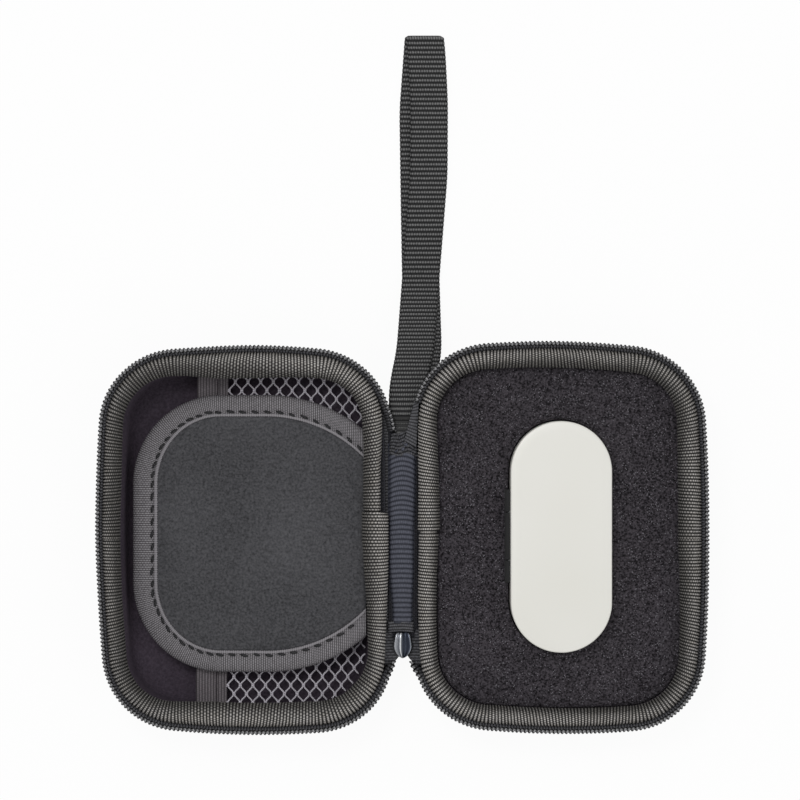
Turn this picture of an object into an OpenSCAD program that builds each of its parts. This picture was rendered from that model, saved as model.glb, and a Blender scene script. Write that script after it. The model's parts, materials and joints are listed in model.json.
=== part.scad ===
// Zipped hard case for earbuds, lying open flat like a book.
// The right half (base) holds a foam insert with a charging box in its slot.
// The left half (lid) holds a mesh pocket under a bound, padded flap.
// Lengths in millimetres. +Z is up, +Y runs along the spine towards the wrist strap.
// The origin is the centre of the face that the base rests on.

/* [Halves] */
// Width of one half, across the spine's direction, over its zip teeth
half_w = 81.6; // [76:0.2:90]
// Length of one half, along the spine, over its zip teeth
half_l = 106.4; // [98:0.2:116]
// Depth of one half, from its resting face to the plane where the halves meet
half_h = 25; // [23:0.5:32]
// Radius of the corners
corner_r = 21.5; // [19:0.5:25]
// Radius that the long sides bow to
side_bow_r = 450; // [300:10:900]
// Radius that the short ends bow to
end_bow_r = 250; // [180:10:600]
// Slope of the walls from upright
draft = 4; // [2:0.5:5]
// Radius between the walls and the resting face
floor_fillet = 9; // [6:0.5:10]
// Gap from the spine's middle plane to the zip teeth beside it
spine_gap = 2.35; // [2.3:0.05:3.5]

/* [Walls] */
// Thickness of the woven cover
cover_t = 0.8; // [0.6:0.1:1.2]
// Thickness of the moulded foam shell
shell_t = 2.5; // [2:0.1:3]
// Thickness of the lining
lining_t = 0.6; // [0.4:0.1:0.8]
// Depth of the moulded line round the resting face
mould_line_d = 0.4; // [0.2:0.1:0.5]
// Width of the moulded line round the resting face
mould_line_w = 2; // [1:0.5:3]

/* [Rim] */
// Radius of the bead that the zip teeth form
coil_r = 0.8; // [0.6:0.05:0.85]
// Thickness of the zip tape
tape_t = 0.6; // [0.4:0.1:0.6]
// How far the tape reaches down the outside of the wall
tape_lap = 6; // [4:0.5:8]
// Radius of the rolled binding on the rim
piping_r = 3.2; // [2.8:0.1:3.4]
// Gap between the plane where the halves meet and the top of the binding
piping_drop = 0.2; // [0.1:0.05:0.5]
// Height of the binding above the edge of the wall
edge_drop = 4.2; // [3.8:0.1:5]

/* [Spine] */
// Width of the spine band between its two fold lines, less its clearance
band_w = 8.4; // [8:0.1:8.5]
// Lower end of the spine band
band_from = -25; // [-27:0.5:-20]
// Upper end of the spine band
band_to = 29; // [26:0.5:29.5]
// Thickness of the inner band
band_t = 0.8; // [0.6:0.1:1]
// Thickness of the outer band
outer_band_t = 0.6; // [0.4:0.1:0.8]
// Distance between the band's ribs
rib_pitch = 1.34; // [1.2:0.02:2]
// Height of the band's ribs
rib_h = 0.35; // [0.2:0.05:0.4]

/* [Zip slider] */
// Length of the slider
slider_l = 8.2; // [7:0.1:9]
// Width of the slider at its wide end
slider_w = 6; // [5:0.1:6.2]
// Thickness of each of the slider's two plates
slider_plate_t = 1.1; // [0.9:0.1:1.3]
// Height of the slider over both plates
slider_h = 4; // [3.6:0.1:4.4]
// Length of the pull tab below its pivot
pull_l = 11; // [8:0.5:11.5]
// Width of the pull tab
pull_w = 5; // [4:0.1:5.5]

/* [Wrist strap] */
// Width of the webbing
strap_w = 10; // [9:0.1:10]
// Thickness of the webbing
strap_t = 1.2; // [1:0.1:1.3]
// How far the loop reaches from the middle of the case
strap_reach = 140; // [125:0.5:170]

/* [Foam insert] */
// Height of the foam's top above the table
foam_top = 18.5; // [17:0.1:18.5]
// Gap between the foam and the lining
foam_fit = 0.2; // [0.1:0.05:0.4]
// Gap between the slot and the charging box
slot_fit = 0.4; // [0.3:0.05:0.6]
// Thickness of the pad under the charging box
pad_t = 1.1; // [0.8:0.1:1.3]

/* [Charging box] */
// Width of the charging box
box_w = 27.7; // [26:0.1:30]
// Length of the charging box
box_l = 63.3; // [58:0.1:66]
// Height of the charging box
box_h = 22; // [20:0.1:24]
// Offset of the charging box along the spine's direction
box_y = 0.8; // [-3:0.1:3]
// Height of the seam above the bottom of the charging box
box_seam = 14.2; // [13.8:0.1:14.6]
// Thickness of the box's walls
box_wall = 1.6; // [1.4:0.1:2]
// Radius of the box's top edge
box_top_r = 1; // [1:0.1:2.5]
// Radius of the box's bottom edge
box_bottom_r = 4; // [2:0.1:4.5]
// Length of the hinge
hinge_l = 26; // [22:0.5:30]
// Radius of the hinge's knuckles
knuckle_r = 1.5; // [1.3:0.05:1.6]
// Radius of the hinge pin
hinge_pin_r = 0.6; // [0.5:0.05:0.7]
// Radius of the wells that hold the earbuds
well_r = 8.5; // [7.5:0.1:9]

/* [Mesh pocket] */
// Height of the mesh above the table
net_z = 10; // [9:0.1:10.4]
// Thickness of the mesh
net_t = 0.4; // [0.3:0.05:0.6]
// Distance between the knots of one row
net_pitch = 3.5; // [3.4:0.1:5]
// Distance between two rows of knots
net_row = 2.4; // [2.2:0.1:4]
// Width of the mesh's threads
net_thread = 0.5; // [0.4:0.05:0.8]
// Distance from the spine to the mesh's open edge
net_edge = 47.8; // [44:0.1:50]
// Width of the bound hem on the mesh
hem_w = 3; // [2:0.1:4]
// Width of the elastic at the pocket's mouth
elastic_w = 5.8; // [4:0.1:8]

/* [Flap] */
// Distance from the flap's free edge to the far zip teeth
flap_margin = 9.55; // [9:0.05:16]
// Distance from each end of the flap to the zip teeth there, when it is centred
flap_end_margin = 15; // [14:0.1:18]
// Offset of the flap along the spine's direction
flap_y = 1.4; // [-2:0.1:3]
// Radius of the flap's free corners
flap_r = 24.6; // [18:0.1:28]
// Radius of the bows in which the flap's two ends narrow towards the spine
flap_root_r = 43; // [40:0.5:50]
// Slope of the flap, down towards its free edge
flap_slope = 6.8; // [6:0.1:7.2]
// Width of the flap's binding
binding_w = 6; // [5:0.1:8]
// Thickness of the binding over both faces
binding_t = 2.2; // [1.8:0.1:2.4]
// Distance between stitches
stitch_pitch = 3.45; // [3:0.05:5]

/* [Hidden] */
$fn = 64;

hw = half_w / 2;
hl = half_l / 2;
spine_x = -(hw + spine_gap);
lid_x = 2 * spine_x;

// The corner's centre is where arcs of the bows' centres, shortened by the corner radius, cross
bow_side = side_bow_r - corner_r;
bow_end = end_bow_r - corner_r;
side_c = [hw - side_bow_r, 0];
end_c = [0, hl - end_bow_r];
centres_gap = norm(end_c - side_c);
along = (end_c - side_c) / centres_gap;
along_d = (bow_side * bow_side - bow_end * bow_end + centres_gap * centres_gap) / (2 * centres_gap);
across_d = sqrt(bow_side * bow_side - along_d * along_d);
corner_c = side_c + along_d * along + across_d * [-along[1], along[0]];
a1 = atan2(corner_c[1] - side_c[1], corner_c[0] - side_c[0]);
a2 = atan2(corner_c[1] - end_c[1], corner_c[0] - end_c[0]);

// Each arc of the outline, in order round it: centre, radius, start angle, sweep and number of steps
bow_steps = 4;
corner_steps = 8;
ARCS = [[side_c, side_bow_r, -a1, 2 * a1, bow_steps],
        [corner_c, corner_r, a1, a2 - a1, corner_steps],
        [end_c, end_bow_r, a2, 180 - 2 * a2, bow_steps],
        [[-corner_c[0], corner_c[1]], corner_r, 180 - a2, a2 - a1, corner_steps],
        [-side_c, side_bow_r, 180 - a1, 2 * a1, bow_steps],
        [-corner_c, corner_r, 180 + a1, a2 - a1, corner_steps],
        [-end_c, end_bow_r, 180 + a2, 180 - 2 * a2, bow_steps],
        [[corner_c[0], -corner_c[1]], corner_r, 360 - a2, a2 - a1, corner_steps]];

// Stations round the outline: centre, radius and angle
RING = [for (a = ARCS, i = [0:a[4] - 1]) [a[0], a[1], a[2] + i * a[3] / a[4]]];

// The teeth and their tape leave the spine side free: at its lower end for the slider, at its upper
// end for the strap
zip_low = 34;
zip_high = 38.4;
zip_low_a = asin((zip_low - corner_c[1]) / corner_r);
zip_high_a = asin((zip_high - corner_c[1]) / corner_r);
ZIP_RING = concat([for (i = [0:corner_steps - 1])
                    [ARCS[5][0], corner_r, 180 + zip_low_a + i * (a2 - zip_low_a) / corner_steps]],
                  [for (k = [6, 7, 0, 1, 2], i = [0:ARCS[k][4] - 1])
                    [ARCS[k][0], ARCS[k][1], ARCS[k][2] + i * ARCS[k][3] / ARCS[k][4]]],
                  [for (i = [0:corner_steps])
                    [ARCS[3][0], corner_r, 180 - a2 + i * (a2 - zip_high_a) / corner_steps]]);

// Heights and insets of the rim, each inset measured from the outline
edge_z = half_h - edge_drop;
coil_u = coil_r + 0.05;
tape_u = 2 * coil_r + 0.1;
wall_u = tape_u + tape_t;
wall_t = cover_t + shell_t + lining_t;
piping_u = wall_u + 0.3 + piping_r;
piping_z = half_h - piping_drop - piping_r;
mould_line_u = 17;

// The fold lines of the spine lie at the level of the walls' edges
fold_x = band_w / 2 + 0.2;
fold_z = edge_z - 0.2;
band_top = fold_z - 0.2;
slider_top = band_top;
slider_y = band_from - 0.4 - slider_l / 2;
pull_pivot_z = slider_top - slider_h - 2;
strap_root_y = band_to + 0.4;
strap_root_top = band_top + 0.6;

box_z = wall_t + foam_fit + pad_t + 0.2;
seam_z = box_z + box_seam;
box_r = box_w / 2;
box_s = box_l / 2 - box_r;
hinge_x = -box_r;

// The flap's ends bow in over flap_taper up to its root, which is straight and clears the bow of the
// binding beside it
flap_taper = 26.4;
root_end = half_l / 2 - flap_end_margin - flap_root_r
           + sqrt(flap_root_r * flap_root_r - flap_taper * flap_taper) + abs(flap_y);
root_bow = side_bow_r - sqrt(side_bow_r * side_bow_r - root_end * root_end);
flap_root = spine_gap + piping_u + piping_r + 0.2 + root_bow;
flap_root_z = edge_z - 0.3;

charcoal = [0.10, 0.10, 0.11];
trim_grey = [0.29, 0.28, 0.27];
metal = [0.35, 0.35, 0.36];
pale = [0.88, 0.88, 0.86];

// How far the wall's outer face lies inside the outline at height z
function wall_in(z) = wall_u + (half_h - z) * tan(draft);

// How far point p of the plan lies inside the outline
function inset_of(p) =
  let (q = [abs(p[0]), abs(p[1])], v = q - corner_c, a = atan2(v[1], v[0]))
    a < a1 ? side_bow_r - norm(q - side_c) : a > a2 ? end_bow_r - norm(q - end_c) : corner_r - norm(v);

function ring_point(s, p) =
  let (r = s[1] - p[0])
    [s[0][0] + r * cos(s[2]), s[0][1] + r * sin(s[2]), p[1]];

// Sides between neighbouring stations; m stations of n points, the last n joined to the first if loop
function side_faces(m, n, steps, loop) =
  [for (i = [0:m - 1], j = [0:steps - 1])
    [i * n + j, i * n + (j + 1) % n, ((i + 1) % loop) * n + (j + 1) % n, ((i + 1) % loop) * n + j]];

// A closed profile carried all round: each point is [inset from the outline, height]
module rim_ring(profile) {
  n = len(profile);
  m = len(RING);
  polyhedron([for (s = RING, p = profile) ring_point(s, p)], side_faces(m, n, n, m));
}

// A closed profile carried along the open run of the zip, with flat ends
module zip_run(profile) {
  n = len(profile);
  m = len(ZIP_RING);
  polyhedron([for (s = ZIP_RING, p = profile) ring_point(s, p)],
             concat(side_faces(m - 1, n, n, m),
                    [[for (j = [n - 1:-1:0]) j]],
                    [[for (j = [0:n - 1]) (m - 1) * n + j]]));
}

// An open profile carried all round, closed by a flat face inside its first and its last point
module dish(profile) {
  n = len(profile);
  m = len(RING);
  polyhedron([for (s = RING, p = profile) ring_point(s, p)],
             concat(side_faces(m, n, n - 1, m),
                    [[for (i = [0:m - 1]) i * n]],
                    [[for (i = [m - 1:-1:0]) i * n + n - 1]]));
}

// The plan outline, drawn in by u
module outline(u) {
  r = corner_r - u;
  j1 = corner_c + r * [cos(a1), sin(a1)];
  j2 = corner_c + r * [cos(a2), sin(a2)];
  polygon([[j1[0], -j1[1]], j1, j2, [-j2[0], j2[1]], [-j1[0], j1[1]], -j1, -j2, [j2[0], -j2[1]]]);
  for (s = [-1, 1]) {
    for (t = [-1, 1])
      translate([s * corner_c[0], t * corner_c[1]])
        circle(r);
    intersection() {
      translate(s * side_c)
        circle(side_bow_r - u);
      translate([s * (j1[0] - 5 + hw / 2), 0])
        square([hw, 2 * j1[1]], center = true);
    }
    intersection() {
      translate(s * end_c)
        circle(end_bow_r - u);
      translate([0, s * (j2[1] - 5 + hl / 2)])
        square([2 * j2[0], hl], center = true);
    }
  }
}

// The wall's section t inside its outer face, from the floor up to height top
fillet_steps = 4;
function wall_section(t, top) =
  let (r = floor_fillet - t,
       c = [wall_in(floor_fillet) + floor_fillet / cos(draft), floor_fillet])
    concat([for (i = [0:fillet_steps])
             let (a = -90 + i * (90 - draft) / fillet_steps)
               [c[0] - r * cos(a), c[1] + r * sin(a)]],
           [[wall_in(top) + t / cos(draft), top]]);

function reversed(v) = [for (i = [len(v) - 1:-1:0]) v[i]];

// A layer of the wall between two depths inside its outer face
module layer(t_out, t_in, under = []) {
  dish(concat(under, wall_section(t_out, edge_z), reversed(wall_section(t_in, edge_z))));
}

// The cover has a moulded line round its resting face
module cover() {
  far_u = mould_line_u + mould_line_w;
  layer(0, cover_t, [[far_u, 0], [far_u, mould_line_d], [mould_line_u, mould_line_d], [mould_line_u, 0]]);
}

module shell() {
  layer(cover_t, cover_t + shell_t);
}

module lining() {
  layer(cover_t + shell_t, wall_t);
}

// The binding is a roll that wraps the wall's edge
piping_steps = 11;
module piping() {
  wall_back = wall_in(edge_z) + wall_t / cos(draft) + 0.05;
  from = asin((edge_z - piping_z) / piping_r);
  to = 180 + acos((wall_back + 0.2 - piping_u) / piping_r);
  rim_ring(concat([[wall_back, edge_z]],
                  [for (i = [0:piping_steps])
                    let (a = from + i * (to - from) / piping_steps)
                      [piping_u - piping_r * cos(a), piping_z + piping_r * sin(a)]]));
}

glue_t = 0.1;
module zip_tape() {
  low = edge_z - tape_lap;
  top = half_h - 0.6;
  lap = glue_t + tape_t / cos(draft);
  zip_run([[wall_in(low) - glue_t, low], [wall_in(low) - lap, low], [wall_in(edge_z) - lap, edge_z],
           [tape_u, top], [wall_u, top], [wall_in(edge_z) - glue_t, edge_z]]);
}

coil_sides = 8;
module zip_coil() {
  zip_run([for (i = [0:coil_sides - 1])
            let (a = i * 360 / coil_sides)
              [coil_u - coil_r * cos(a), half_h - 0.4 - coil_r + coil_r * sin(a)]]);
}

// Base

module base_cover() { color(charcoal) cover(); }
module base_shell() { color("dimgray") shell(); }
module base_lining() { color(charcoal) lining(); }
module base_piping() { color(trim_grey) piping(); }
module base_zip_tape() { color(charcoal) zip_tape(); }
module base_zip_coil() { color("black") zip_coil(); }

module stadium(w, l) {
  for (s = [-1, 1])
    translate([0, s * (l - w) / 2])
      circle(w / 2);
  square([w, l - w], center = true);
}

module foam_insert() {
  relief = knuckle_r + slot_fit;
  color([0.18, 0.17, 0.18])
    difference() {
      dish(wall_section(wall_t + foam_fit, foam_top));
      translate([0, box_y, 0])
        linear_extrude(half_h)
          stadium(box_w + 2 * slot_fit, box_l + 2 * slot_fit);
      translate([hinge_x - relief, box_y - hinge_l / 2 - slot_fit, seam_z - relief])
        cube([2 * relief, hinge_l + 2 * slot_fit, relief + 1]);
    }
}

module slot_pad() {
  color([0.14, 0.14, 0.15])
    translate([0, box_y, wall_t])
      linear_extrude(pad_t + foam_fit)
        stadium(box_w, box_l);
}

// Lid

module lid_cover() { color(charcoal) translate([lid_x, 0, 0]) cover(); }
module lid_shell() { color("dimgray") translate([lid_x, 0, 0]) shell(); }
module lid_lining() { color(charcoal) translate([lid_x, 0, 0]) lining(); }
module lid_piping() { color(trim_grey) translate([lid_x, 0, 0]) piping(); }
module lid_zip_tape() { color(charcoal) translate([lid_x, 0, 0]) mirror([1, 0, 0]) zip_tape(); }
module lid_zip_coil() { color("black") translate([lid_x, 0, 0]) mirror([1, 0, 0]) zip_coil(); }

// The pocket's layers end on the lining, whose inset at their height is this
net_u = wall_in(net_z) + wall_t / cos(draft) + 0.3;

// A strip of the lid's plan between two distances from the spine, inside the lining
module lid_strip(from, to) {
  intersection() {
    translate([lid_x, 0])
      outline(net_u);
    translate([spine_x - to, -half_l])
      square([to - from, 2 * half_l]);
  }
}

module mesh_net() {
  inner = spine_gap + net_u;
  cols = floor((net_edge - inner) / net_pitch);
  rows = floor(hl / net_row);
  hole = [net_pitch - net_thread * 1.3, 2 * net_row - net_thread * 2.1] / 2;
  color([0.45, 0.44, 0.46])
    translate([0, 0, net_z])
      linear_extrude(net_t)
        difference() {
          lid_strip(0, net_edge);
          for (j = [-rows:rows], i = [0:cols]) {
            x = spine_x - net_edge + (i + (abs(j) % 2) / 2 + 0.5) * net_pitch;
            y = j * net_row;
            if (inset_of([abs(x - lid_x) + hole[0], abs(y) + hole[1] * 0.6]) > net_u + 0.8
                && x < spine_x - inner - hole[0] - 0.5)
              translate([x, y])
                polygon([[hole[0], 0], [0, hole[1]], [-hole[0], 0], [0, -hole[1]]]);
          }
        }
}

module mesh_hem() {
  color([0.23, 0.23, 0.23])
    translate([0, 0, net_z - 0.3])
      linear_extrude(net_t + 0.6)
        lid_strip(net_edge + 0.05, net_edge + hem_w);
}

module pocket_elastic() {
  color([0.22, 0.22, 0.22])
    translate([0, 0, net_z - 0.3])
      linear_extrude(net_t + 0.6)
        lid_strip(net_edge + hem_w, net_edge + hem_w + elastic_w);
}

// The flap lies in its own plane: x runs from its root, z is 0 at the top of its binding
module on_flap() {
  translate([spine_x - flap_root, flap_y, flap_root_z])
    rotate([0, -flap_slope, 0])
      children();
}

flap_w = spine_gap + half_w - flap_margin - flap_root;
flap_l = half_l - 2 * flap_end_margin;
flap_hl = flap_l / 2;
taper_steps = 24;

// The flap's plan, drawn in by u on its three free edges and cut square, past its root by run
module flap_plan(u, run = 0) {
  fr = flap_r - u;
  rr = flap_root_r - u;
  far = [-flap_w + flap_r, flap_hl - flap_r];
  near = [-flap_taper, flap_hl - flap_root_r];
  turn = 90 - acos((flap_taper + run) / rr);
  bow = [for (i = [0:taper_steps]) near + rr * [sin(i * turn / taper_steps), cos(i * turn / taper_steps)]];
  for (s = [-1, 1])
    translate([far[0], s * far[1]])
      circle(fr);
  translate([far[0], -flap_hl + u])
    square([near[0] - far[0] + 0.1, 2 * (flap_hl - u)]);
  translate([-flap_w + u, -far[1]])
    square([flap_r, 2 * far[1]]);
  polygon(concat(bow, [for (i = [taper_steps:-1:0]) [bow[i][0], -bow[i][1]]]));
}

module flap_panel() {
  color([0.26, 0.26, 0.265])
    on_flap()
      translate([0, 0, -binding_t + 0.3])
        linear_extrude(binding_t - 0.6)
          flap_plan(binding_w);
}

module flap_binding() {
  color([0.33, 0.33, 0.33])
    on_flap()
      translate([0, 0, -binding_t])
        linear_extrude(binding_t)
          difference() {
            flap_plan(0);
            flap_plan(binding_w, 1);
          }
}

// Stitches run round the free edges at stitch_in from the edge, and stop short of the root
stitch_in = 4.8;
stitch_end = 8;
stitch_l = 1.4;
stitch_w = 0.6;
stitch_h = 0.2;

module stitch() {
  translate([-stitch_l / 2, -stitch_w / 2, 0])
    cube([stitch_l, stitch_w, stitch_h]);
}

module flap_stitches() {
  r = flap_r - stitch_in;
  r_bow = flap_root_r - stitch_in;
  far = [-flap_w + flap_r, flap_hl - flap_r];
  near = [-flap_taper, flap_hl - flap_root_r];
  step = stitch_pitch / r_bow * 180 / PI;
  n_end = floor((near[0] - far[0]) / stitch_pitch);
  n_bow = floor((90 - acos(flap_taper / r_bow)) / step - stitch_end / stitch_pitch);
  n_arc = floor(r * PI / 2 / stitch_pitch);
  n_side = floor(2 * far[1] / stitch_pitch);
  color([0.05, 0.05, 0.05])
    on_flap() {
      for (s = [-1, 1]) {
        for (i = [0:n_end])
          translate([far[0] + i * stitch_pitch, s * (flap_hl - stitch_in), 0])
            stitch();
        for (i = [1:n_bow])
          translate([near[0], s * near[1], 0])
            rotate([0, 0, s * (90 - i * step)])
              translate([r_bow, 0, 0])
                rotate([0, 0, 90])
                  stitch();
        for (i = [1:n_arc])
          translate([far[0], s * far[1], 0])
            rotate([0, 0, s * (90 + (i - 0.5) * 90 / n_arc)])
              translate([r, 0, 0])
                rotate([0, 0, 90])
                  stitch();
      }
      for (i = [0:n_side])
        translate([-flap_w + stitch_in, (i - n_side / 2) * stitch_pitch, 0])
          rotate([0, 0, 90])
            stitch();
    }
}

// Spine

module spine_band() {
  count = floor((band_to - band_from - 1) / rib_pitch);
  rib_r = rib_pitch * 0.45;
  middle = (band_from + band_to) / 2;
  color([0.25, 0.25, 0.27])
    translate([spine_x, 0, band_top - band_t]) {
      translate([-band_w / 2, band_from, 0])
        cube([band_w, band_to - band_from, band_t]);
      rotate([90, 0, 90])
        linear_extrude(band_w - 1, center = true)
          for (i = [0:count - 1])
            translate([middle + (i - (count - 1) / 2) * rib_pitch, band_t])
              intersection() {
                translate([0, rib_h - rib_r])
                  circle(rib_r);
                translate([-rib_r, -band_t / 2])
                  square([2 * rib_r, 2 * rib_r]);
              }
    }
}

module spine_cover() {
  color(charcoal)
    translate([spine_x - band_w / 2, band_from, band_top - band_t - outer_band_t])
      cube([band_w, band_to - band_from, outer_band_t]);
}

// Slider: two plates joined by a post, wide at the end where the teeth come apart
module slider_plate() {
  lobe = slider_w / 4;
  end_y = slider_l / 2;
  linear_extrude(slider_plate_t) {
    for (s = [-1, 1])
      translate([s * lobe, -end_y + lobe])
        circle(lobe);
    translate([0, end_y - slider_w * 0.36])
      circle(slider_w * 0.36);
    polygon([[-slider_w / 2, -end_y + lobe], [slider_w / 2, -end_y + lobe],
             [slider_w * 0.36, end_y - slider_w * 0.36], [-slider_w * 0.36, end_y - slider_w * 0.36]]);
  }
}

module at_slider() {
  translate([spine_x, slider_y, slider_top - slider_h])
    children();
}

module slider_body() {
  color(metal)
    at_slider() {
      slider_plate();
      translate([0, 0, slider_h - slider_plate_t])
        slider_plate();
      translate([0, -slider_l * 0.12, slider_plate_t / 2])
        cylinder(r = 0.9, h = slider_h - slider_plate_t);
    }
}

bar_r = 0.6;
leg_x = 1.8;

module slider_bridge() {
  drop = slider_top - slider_h - pull_pivot_z;
  color(metal)
    at_slider() {
      for (s = [-1, 1])
        translate([s * leg_x - bar_r, -bar_r, -drop - bar_r])
          cube([2 * bar_r, 2 * bar_r, drop + bar_r]);
      translate([-leg_x, 0, -drop])
        rotate([0, 90, 0])
          cylinder(r = bar_r, h = 2 * leg_x);
    }
}

module pull_tab() {
  eye_w = 2 * (leg_x - bar_r) - 0.3;
  eye_r = 1.4;
  color(metal)
    translate([spine_x, slider_y, pull_pivot_z])
      difference() {
        union() {
          rotate([0, 90, 0])
            cylinder(r = eye_r, h = eye_w, center = true);
          translate([0, 0.6, 0])
            rotate([90, 0, 0])
              linear_extrude(1.2) {
                translate([-eye_w / 2, -3.5])
                  square([eye_w, 3.5]);
                translate([0, -pull_l + pull_w / 2])
                  circle(pull_w / 2);
                translate([-pull_w / 2, -pull_l + pull_w / 2])
                  square([pull_w, pull_l - pull_w / 2 - 3]);
              }
        }
        rotate([0, 90, 0])
          cylinder(r = bar_r + 0.1, h = 3 * eye_w, center = true);
        translate([0, 0, -pull_l + pull_w / 2])
          rotate([90, 0, 0])
            cylinder(r = 1.1, h = 4, center = true);
      }
}

// Wrist strap: two plies of webbing that cross, folded at the far end and gathered at the root.
// Each row is the distance from the case's middle and where the ply's left edge lies from the spine.
FRONT_LEFT = [[39, -3.7], [44, -3.3], [52, -1.8], [74, -0.2], [100, 1.9], [120, 2.0], [134, 1.3]];
BACK_LEFT = [[39, -3.5], [43, -1.6], [47, -0.6], [52, 0.2], [74, -0.4], [90, -0.7], [118, -1.1], [134, 0.1]];
strap_fold_x = 0.6;
root_w = 6.8;
root_to = 35;
webbing_gap = 0.3;

// The rows beyond even_from are spread when the loop is longer than the drawn one
drawn_reach = 138.5;
even_from = 60;

// The right edge stays clear of the teeth of the base where the strap passes below them
function strap_right(y, left) =
  let (dy = max(0, y - corner_c[1]),
       bend = dy < corner_r ? corner_r - sqrt(corner_r * corner_r - dy * dy) : hw)
    min(left + strap_w, spine_gap + bend - 0.5);

module ply_plan(rows) {
  stretch = (strap_reach - even_from) / (drawn_reach - even_from);
  far = [for (r = rows) [r[0] < even_from ? r[0] : even_from + (r[0] - even_from) * stretch, r[1]]];
  fine = [for (i = [0:len(far) - 2], t = [0, 0.5]) far[i] + t * (far[i + 1] - far[i])];
  ends = concat(fine, [far[len(far) - 1]]);
  left = concat([[strap_root_y, -root_w / 2], [root_to, -root_w / 2]], ends,
                [[strap_reach + 3, strap_fold_x]]);
  right = concat([[strap_root_y, root_w / 2 - 0.4], [root_to, root_w / 2 - 0.4]],
                 [for (r = ends) [r[0], strap_right(r[0], r[1])]],
                 [[strap_reach + 3, strap_fold_x + strap_w]]);
  polygon(concat([for (r = left) [spine_x + r[1], r[0]]],
                 [for (i = [len(right) - 1:-1:0]) [spine_x + right[i][1], right[i][0]]]));
}

// The height of the strap's underside falls smoothly from the spine to the table
slope_from = 34;
slope_to = 74;
root_bottom = strap_root_top - 2 * strap_t - 0.1;
function strap_low(y) =
  let (t = min(1, max(0, (y - slope_from) / (slope_to - slope_from))))
    root_bottom * (1 - t * t * (3 - 2 * t));
function ply_gap(y) = 0.1 + (webbing_gap - 0.1) * min(1, max(0, (y - slope_from) / 20));
SLOPE_YS = [strap_root_y, for (i = [0:14]) slope_from + i * (slope_to - slope_from) / 14];

// Side view of one ply, as bands from height a to height b above the strap's underside
module ply_side(upper) {
  fold_r = strap_t + webbing_gap / 2;
  ys = concat(SLOPE_YS, [strap_reach - fold_r]);
  low = [for (y = ys) [y, strap_low(y) + (upper ? strap_t + ply_gap(y) : 0)]];
  high = [for (i = [len(low) - 1:-1:0]) low[i] + [0, strap_t]];
  polygon(concat(low, high));
}

// More than the strap's width and height
beyond = 40;

module side_extrude() {
  translate([spine_x - beyond / 2, 0, 0])
    rotate([90, 0, 90])
      linear_extrude(beyond)
        children();
}

module wrist_strap() {
  fold_r = strap_t + webbing_gap / 2;
  color([0.24, 0.24, 0.245]) {
    intersection() {
      linear_extrude(beyond)
        ply_plan(FRONT_LEFT);
      side_extrude()
        ply_side(true);
    }
    intersection() {
      linear_extrude(beyond)
        ply_plan(BACK_LEFT);
      side_extrude()
        ply_side(false);
    }
    translate([spine_x + strap_fold_x + 0.2, strap_reach - fold_r, fold_r])
      rotate([90, 0, 90])
        linear_extrude(strap_w - 0.4)
          intersection() {
            difference() {
              circle(fold_r);
              circle(webbing_gap / 2);
            }
            translate([0, -fold_r])
              square([fold_r, 2 * fold_r]);
          }
  }
}

module strap_tack() {
  color([0.08, 0.08, 0.1])
    for (i = [0:3])
      translate([spine_x - 2.6, strap_root_y + 0.4 + i * 1.05, strap_root_top])
        cube([5.2, 0.6, 0.3]);
}

// Charging box

// Carries a profile round a stadium; the profile's x is the distance from the middle line
module stadium_sweep() {
  for (s = [-1, 1])
    translate([0, s * box_s, 0])
      rotate_extrude(angle = 180, start = s > 0 ? 0 : 180)
        children();
  rotate([90, 0, 0])
    linear_extrude(2 * box_s, center = true) {
      children();
      mirror([1, 0])
        children();
    }
}

// The box's half section, t inside its outer face
module box_section(t) {
  w = box_r - t;
  top_r = max(0.3, box_top_r - t);
  bottom_r = max(0.3, box_bottom_r - t);
  translate([0, t + bottom_r])
    square([w, box_h - 2 * t - bottom_r - top_r]);
  translate([0, t])
    square([w - bottom_r, bottom_r + 1]);
  translate([0, box_h - t - top_r - 1])
    square([w - top_r, top_r + 1]);
  translate([w - bottom_r, t + bottom_r])
    circle(bottom_r);
  translate([w - top_r, box_h - t - top_r])
    circle(top_r);
}

module in_box() {
  translate([0, box_y, box_z])
    children();
}

// Part of the box's section between two heights
module box_part(t, from, to) {
  stadium_sweep()
    intersection() {
      box_section(t);
      translate([0, from])
        square([box_w, to - from]);
    }
}

knuckle_half = hinge_l / 4;
knuckle_gap = 0.15;

module knuckle(from, to, r) {
  translate([hinge_x, 0, box_seam])
    rotate([-90, 0, 0])
      translate([0, 0, from])
        cylinder(r = r, h = to - from);
}

module lid_knuckles(r, more) {
  for (s = [-1, 1])
    translate([0, s * (knuckle_half + hinge_l / 2) / 2, 0])
      knuckle(-(hinge_l / 2 - knuckle_half) / 2 + knuckle_gap - more,
              (hinge_l / 2 - knuckle_half) / 2 - knuckle_gap + more, r);
}

module pin_hole() {
  knuckle(-hinge_l / 2 - 1, hinge_l / 2 + 1, hinge_pin_r + 0.05);
}

socket_w = 8.9;
socket_h = 3.2;
socket_d = 4.6;
board_z = 1.9;
board_t = 0.8;

module socket_plan(w, h) {
  for (s = [-1, 1])
    translate([s * (w - h) / 2, 0])
      circle(h / 2);
  square([w - h, h], center = true);
}

module at_socket() {
  translate([0, -box_l / 2, board_z + board_t + socket_h / 2 + 0.3])
    rotate([-90, 0, 0])
      children();
}

module box_shell() {
  color(pale)
    in_box()
      difference() {
        union() {
          difference() {
            box_part(0, 0, box_seam);
            box_part(box_wall, 0, box_seam + 1);
            lid_knuckles(knuckle_r + 0.2, 0.15);
          }
          knuckle(-knuckle_half, knuckle_half, knuckle_r);
        }
        pin_hole();
        at_socket()
          linear_extrude(6)
            socket_plan(socket_w + 0.2, socket_h + 0.2);
      }
}

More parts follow.
